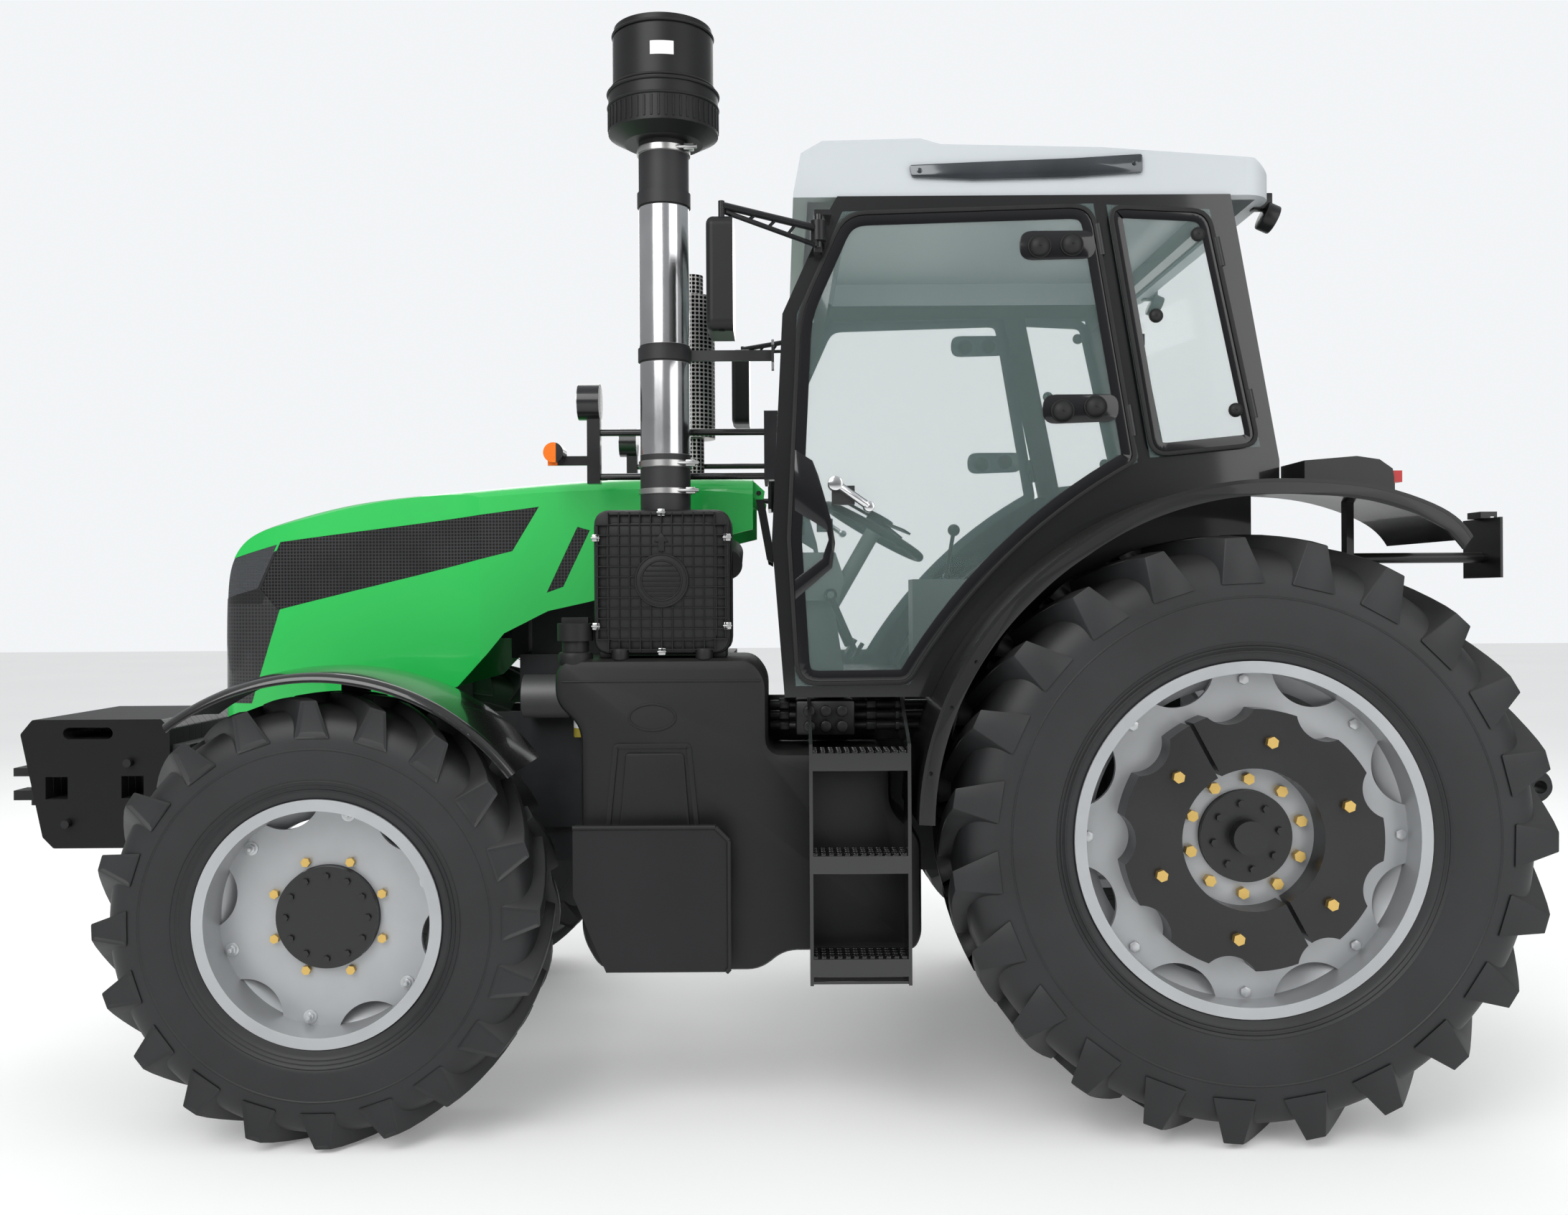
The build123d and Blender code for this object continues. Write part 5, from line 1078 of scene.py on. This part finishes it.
def valve_block():
    """The valves and pipes behind the upper step."""
    pipes, y = (1.172, 1.205, 1.238), -0.700
    parts = [add_box("valve", (0.150, -0.790, 1.150), (0.330, -0.640, 1.256), 0.008)]
    parts += [add_rod("port", (x, -0.780, z), (x, -0.822, z), 0.017, 24, 0.003)
              for x in (0.190, 0.240, 0.290) for z in (1.180, 1.226)]
    parts += [add_rod("pipe", (0.070, y, z), (0.560, y, z), 0.014, 24, 0.002) for z in pipes]
    parts += [add_rod("union", (x, y, z), (x + 0.030, y, z), 0.021, 6, 0.002)
              for x in (0.100, 0.370, 0.460) for z in pipes]
    parts.append(add_box("backing", (0.052, -0.560, 1.112), (0.560, -0.548, 1.2585), 0.002))
    fit("valve_block", parts, 40, "chassis", "black_steel")


def mirror_braces():
    """The braces under the upper mirror arms, with their struts."""
    top, tip, root = Vector((0.215, -0.858, 2.676)), Vector((-0.046, -1.088, 2.678)), Vector((0.212, -0.861, 2.628))
    under = tip - Vector((0, 0, 0.016))
    parts = [add_rod("brace", root, under, 0.0075, 20, 0.001)]
    for share in (0.22, 0.44, 0.66):
        parts.append(add_rod("strut", top.lerp(tip, share), root.lerp(under, share + 0.09), 0.005, 16))
    parts.append(add_rod("rootpiece", (0.2145, -0.8585, 2.622), (0.2145, -0.8585, 2.690), 0.010, 20, 0.001))
    fit_pair("mirror_brace", parts, 40, "mirror_arm_left", "mirror_arm_right", "black_steel")


def precleaner_slots():
    """The precleaner's ring of slots and its four beads."""
    centre, count, parts = box_centre("precleaner"), 48, []
    for index in range(count):
        slot = add_box("slot", (0.157, -0.0035, 3.000), (0.1705, 0.0035, 3.062), 0.001, 1)
        turned = Matrix.Rotation(2 * pi * index / count, 4, "Z")
        slot.data.transform(Matrix.Translation((centre.x, centre.y, 0)) @ turned)
        parts.append(slot)
    for z, radius in ((3.070, 0.169), (3.112, 0.170), (3.128, 0.158), (3.290, 0.154)):
        parts.append(add_ring(radius - 0.001, 0.0045, 72, (centre.x, centre.y, z)))
    fit("precleaner_slots", parts, 40, "chassis", "moulding")


def hose_clamps():
    """The screws of the clamps on the intake pipe's hoses."""
    parts = []
    for z in (1.8975, 1.981, 2.939):
        parts.append(add_box("screw_box", (-0.180, -0.818, z - 0.010), (-0.150, -0.796, z + 0.010), 0.003))
        parts.append(add_rod("screw", (-0.205, -0.815, z), (-0.140, -0.815, z), 0.006, 12, 0.001))
    fit("hose_clamp_screws", parts, 40, "chassis", "steel")


def rim_studs(end, hub, reach, face, count, start, nut, washers):
    """A ring of nuts on each wheel of an axle, with washers and stud ends where it has them."""
    parts = []
    for index in range(count):
        turn = radians(start + 360 * index / count)
        x, y, z = hub.x + reach * cos(turn), hub.y - face, hub.z + reach * sin(turn)
        parts.append(add_rod("nut", (x, y, z), (x, y - 0.010, z), nut, 6, 0.0015))
        if washers:
            parts.append(add_rod("washer", (x, y + 0.001, z), (x, y - 0.003, z), 0.020, 28, 0.001))
            parts.append(add_rod("stud", (x, y - 0.008, z), (x, y - 0.024, z), 0.007, 16, 0.002))
    fit_pair(f"{end}_rim_studs", parts, 35, f"{end}_wheel_left", f"{end}_wheel_right", "stud")


class TRACTOR_OT_fittings(Operator):
    """Adds step boards, mudguard lips, valves, mirror braces, precleaner slots, clamps and rim studs"""
    bl_idname = "tractor.fittings"
    bl_label = "Small Fittings"

    def execute(self, context):
        tread_teeth("left", -1)
        tread_teeth("right", 1)
        mudguard_lips()
        valve_block()
        mirror_braces()
        precleaner_slots()
        hose_clamps()
        rim_studs("front", FRONT_HUB, 0.300, 0.0585, 6, 19, 0.014, True)
        rim_studs("rear", REAR_HUB, 0.452, 0.1245, 8, 0, 0.016, False)
        return {"FINISHED"}


# ---- seat ---------------------------------------------------------------------------------------
def puff(item, pressure, cap, voxel=0.006):
    """Blows a closed form up a little under cloth simulation and limits how far it moves."""
    remesh = item.modifiers.new("remesh", "REMESH")
    remesh.mode, remesh.voxel_size = "VOXEL", voxel
    apply_modifiers(item)
    before = [v.co.copy() for v in item.data.vertices]
    cloth = item.modifiers.new("cloth", "CLOTH")
    cloth.settings.use_pressure = True
    cloth.settings.uniform_pressure_force = pressure
    cloth.settings.effector_weights.gravity = 0
    cloth.settings.quality = 4
    for number in range(1, 21):
        bpy.context.scene.frame_set(number)
    select_only(item)
    bpy.ops.object.modifier_apply(modifier="cloth")
    bpy.context.scene.frame_set(1)
    for vertex, old in zip(item.data.vertices, before):
        move = vertex.co - old
        if move.length > cap:
            vertex.co = old + move.normalized() * cap


class TRACTOR_OT_seat(Operator):
    """Models the seat's padded squab and backrest"""
    bl_idname = "tractor.seat"
    bl_label = "Seat Cushions"

    def execute(self, context):
        low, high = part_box("seat_cushions")
        squab = add_box("seat_squab", (low[0] + 0.012, low[1] + 0.012, 1.552), (1.235, high[1] - 0.012, 1.628), 0.022,
                        3)
        back = add_box("seat_backrest", (-0.030, -0.215, 0.0), (0.045, 0.215, 0.385), 0.025, 3)
        back.data.transform(Matrix.Translation((1.228, 0, 1.662)) @ Matrix.Rotation(radians(11.2), 4, "Y"))
        for item, slot_name in ((squab, "squab"), (back, "backrest")):
            bpy.context.view_layer.objects.active = item
            item.data.materials.clear()
            puff(item, 4, 0.010)
            smooth = item.modifiers.new("round", "SUBSURF")
            smooth.levels = smooth.render_levels = 1
            apply_modifiers(item)
            shade(item, 180)
        place(squab, "seat", MATERIALS["cloth"], ("seat_cushions",), "cloth")
        place(back, "seat", MATERIALS["cloth"], (), "cloth")
        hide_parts("seat_cushions")
        return {"FINISHED"}


# ---- studio -------------------------------------------------------------------------------------
class TRACTOR_OT_studio(Operator):
    """Sets up the pale floor, the soft lights and the camera"""
    bl_idname = "tractor.studio"
    bl_label = "Studio"

    def execute(self, context):
        settings = context.scene.tractor_studio
        clear_selection()
        bpy.ops.mesh.primitive_plane_add(size=60, location=(0, 8, -0.0005))
        floor = context.object
        floor.name = "studio_floor"
        settle(floor)
        ground = finish("studio floor", settings.floor, 0.75, drift=0.02, patch=0.4, grain=40, bump=0.03)
        glow = ground.node_tree.nodes["Principled BSDF"]
        glow.inputs["Emission Color"].default_value = (1, 1, 1, 1)
        glow.inputs["Emission Strength"].default_value = 0.16
        floor.data.materials.append(ground)
        world = bpy.data.worlds.new("studio")
        context.scene.world = world
        world.use_nodes = True
        n, link = world.node_tree.nodes, world.node_tree.links.new
        sky = n["Background"]
        look = n.new("ShaderNodeTexCoord")
        split = n.new("ShaderNodeSeparateXYZ")
        link(look.outputs["Generated"], split.inputs[0])
        climb = n.new("ShaderNodeMapRange")
        climb.inputs["From Min"].default_value, climb.inputs["From Max"].default_value = 0.0, 0.75
        climb.inputs["To Min"].default_value, climb.inputs["To Max"].default_value = 0.20, 0.82
        link(split.outputs["Z"], climb.inputs["Value"])
        seen = n.new("ShaderNodeLightPath")
        pale = n.new("ShaderNodeMix")
        pale.inputs["B"].default_value = 0.93
        link(climb.outputs[0], pale.inputs["A"])
        link(seen.outputs["Is Camera Ray"], pale.inputs["Factor"])
        link(pale.outputs["Result"], sky.inputs["Strength"])
        sky.inputs["Color"].default_value = (0.96, 0.98, 1.0, 1)
        context.scene.view_settings.view_transform = "Standard"
        for name, spot, aim, size, power in (
            ("key", (-3.5, -7.5, 6.5), (0, 0, 1.2), 6, 520),
            ("fill", (5.5, -6.0, 3.5), (0.5, 0, 1.2), 5, 170),
            ("back", (0, 6.5, 6.0), (0, 0, 1.6), 7, 300),
        ):
            clear_selection()
            direction = Vector(aim) - Vector(spot)
            bpy.ops.object.light_add(type="AREA", location=spot, rotation=direction.to_track_quat("-Z", "Y").to_euler())
            lamp = context.object
            lamp.name = f"studio_{name}"
            lamp.data.size, lamp.data.energy = size, power
        camera_data = bpy.data.cameras.new("studio_camera")
        camera = bpy.data.objects.new("studio_camera", camera_data)
        context.collection.objects.link(camera)
        camera.location = (0.103, -settings.camera_distance, settings.camera_height)
        camera.rotation_euler = (pi / 2, radians(0.35), 0)
        camera_data.lens, camera_data.sensor_width = 30.86, 36
        camera_data.shift_x, camera_data.shift_y = 0.0027, -0.0057
        context.scene.camera = camera
        return {"FINISHED"}


class TRACTOR_PT_panel(Panel):
    """Lists the tractor's building steps and settings"""
    bl_idname = "TRACTOR_PT_panel"
    bl_label = "Farm Tractor"
    bl_space_type = "VIEW_3D"
    bl_region_type = "UI"
    bl_category = "Tractor"

    def draw(self, context):
        for step in STEPS:
            self.layout.operator(step.bl_idname)
        for group in (context.scene.tractor_tyres, context.scene.tractor_paint, context.scene.tractor_studio):
            column = self.layout.column()
            for key in group.__annotations__:
                column.prop(group, key)


GROUPS = (TyreSettings, PaintSettings, StudioSettings)
STEPS = (TRACTOR_OT_finishes, TRACTOR_OT_tyres, TRACTOR_OT_cab_trim, TRACTOR_OT_air_cleaner, TRACTOR_OT_tank,
         TRACTOR_OT_fittings, TRACTOR_OT_seat, TRACTOR_OT_studio)


def register():
    for item in (*GROUPS, *STEPS, TRACTOR_PT_panel):
        bpy.utils.register_class(item)
    bpy.types.Scene.tractor_tyres = PointerProperty(type=TyreSettings)
    bpy.types.Scene.tractor_paint = PointerProperty(type=PaintSettings)
    bpy.types.Scene.tractor_studio = PointerProperty(type=StudioSettings)


def unregister():
    for name in ("tractor_tyres", "tractor_paint", "tractor_studio"):
        delattr(bpy.types.Scene, name)
    for item in (TRACTOR_PT_panel, *reversed(STEPS), *reversed(GROUPS)):
        bpy.utils.unregister_class(item)


def main():
    register()
    for step in STEPS:
        area, name = step.bl_idname.split(".")
        getattr(getattr(bpy.ops, area), name)()


if __name__ == "__main__":
    main()
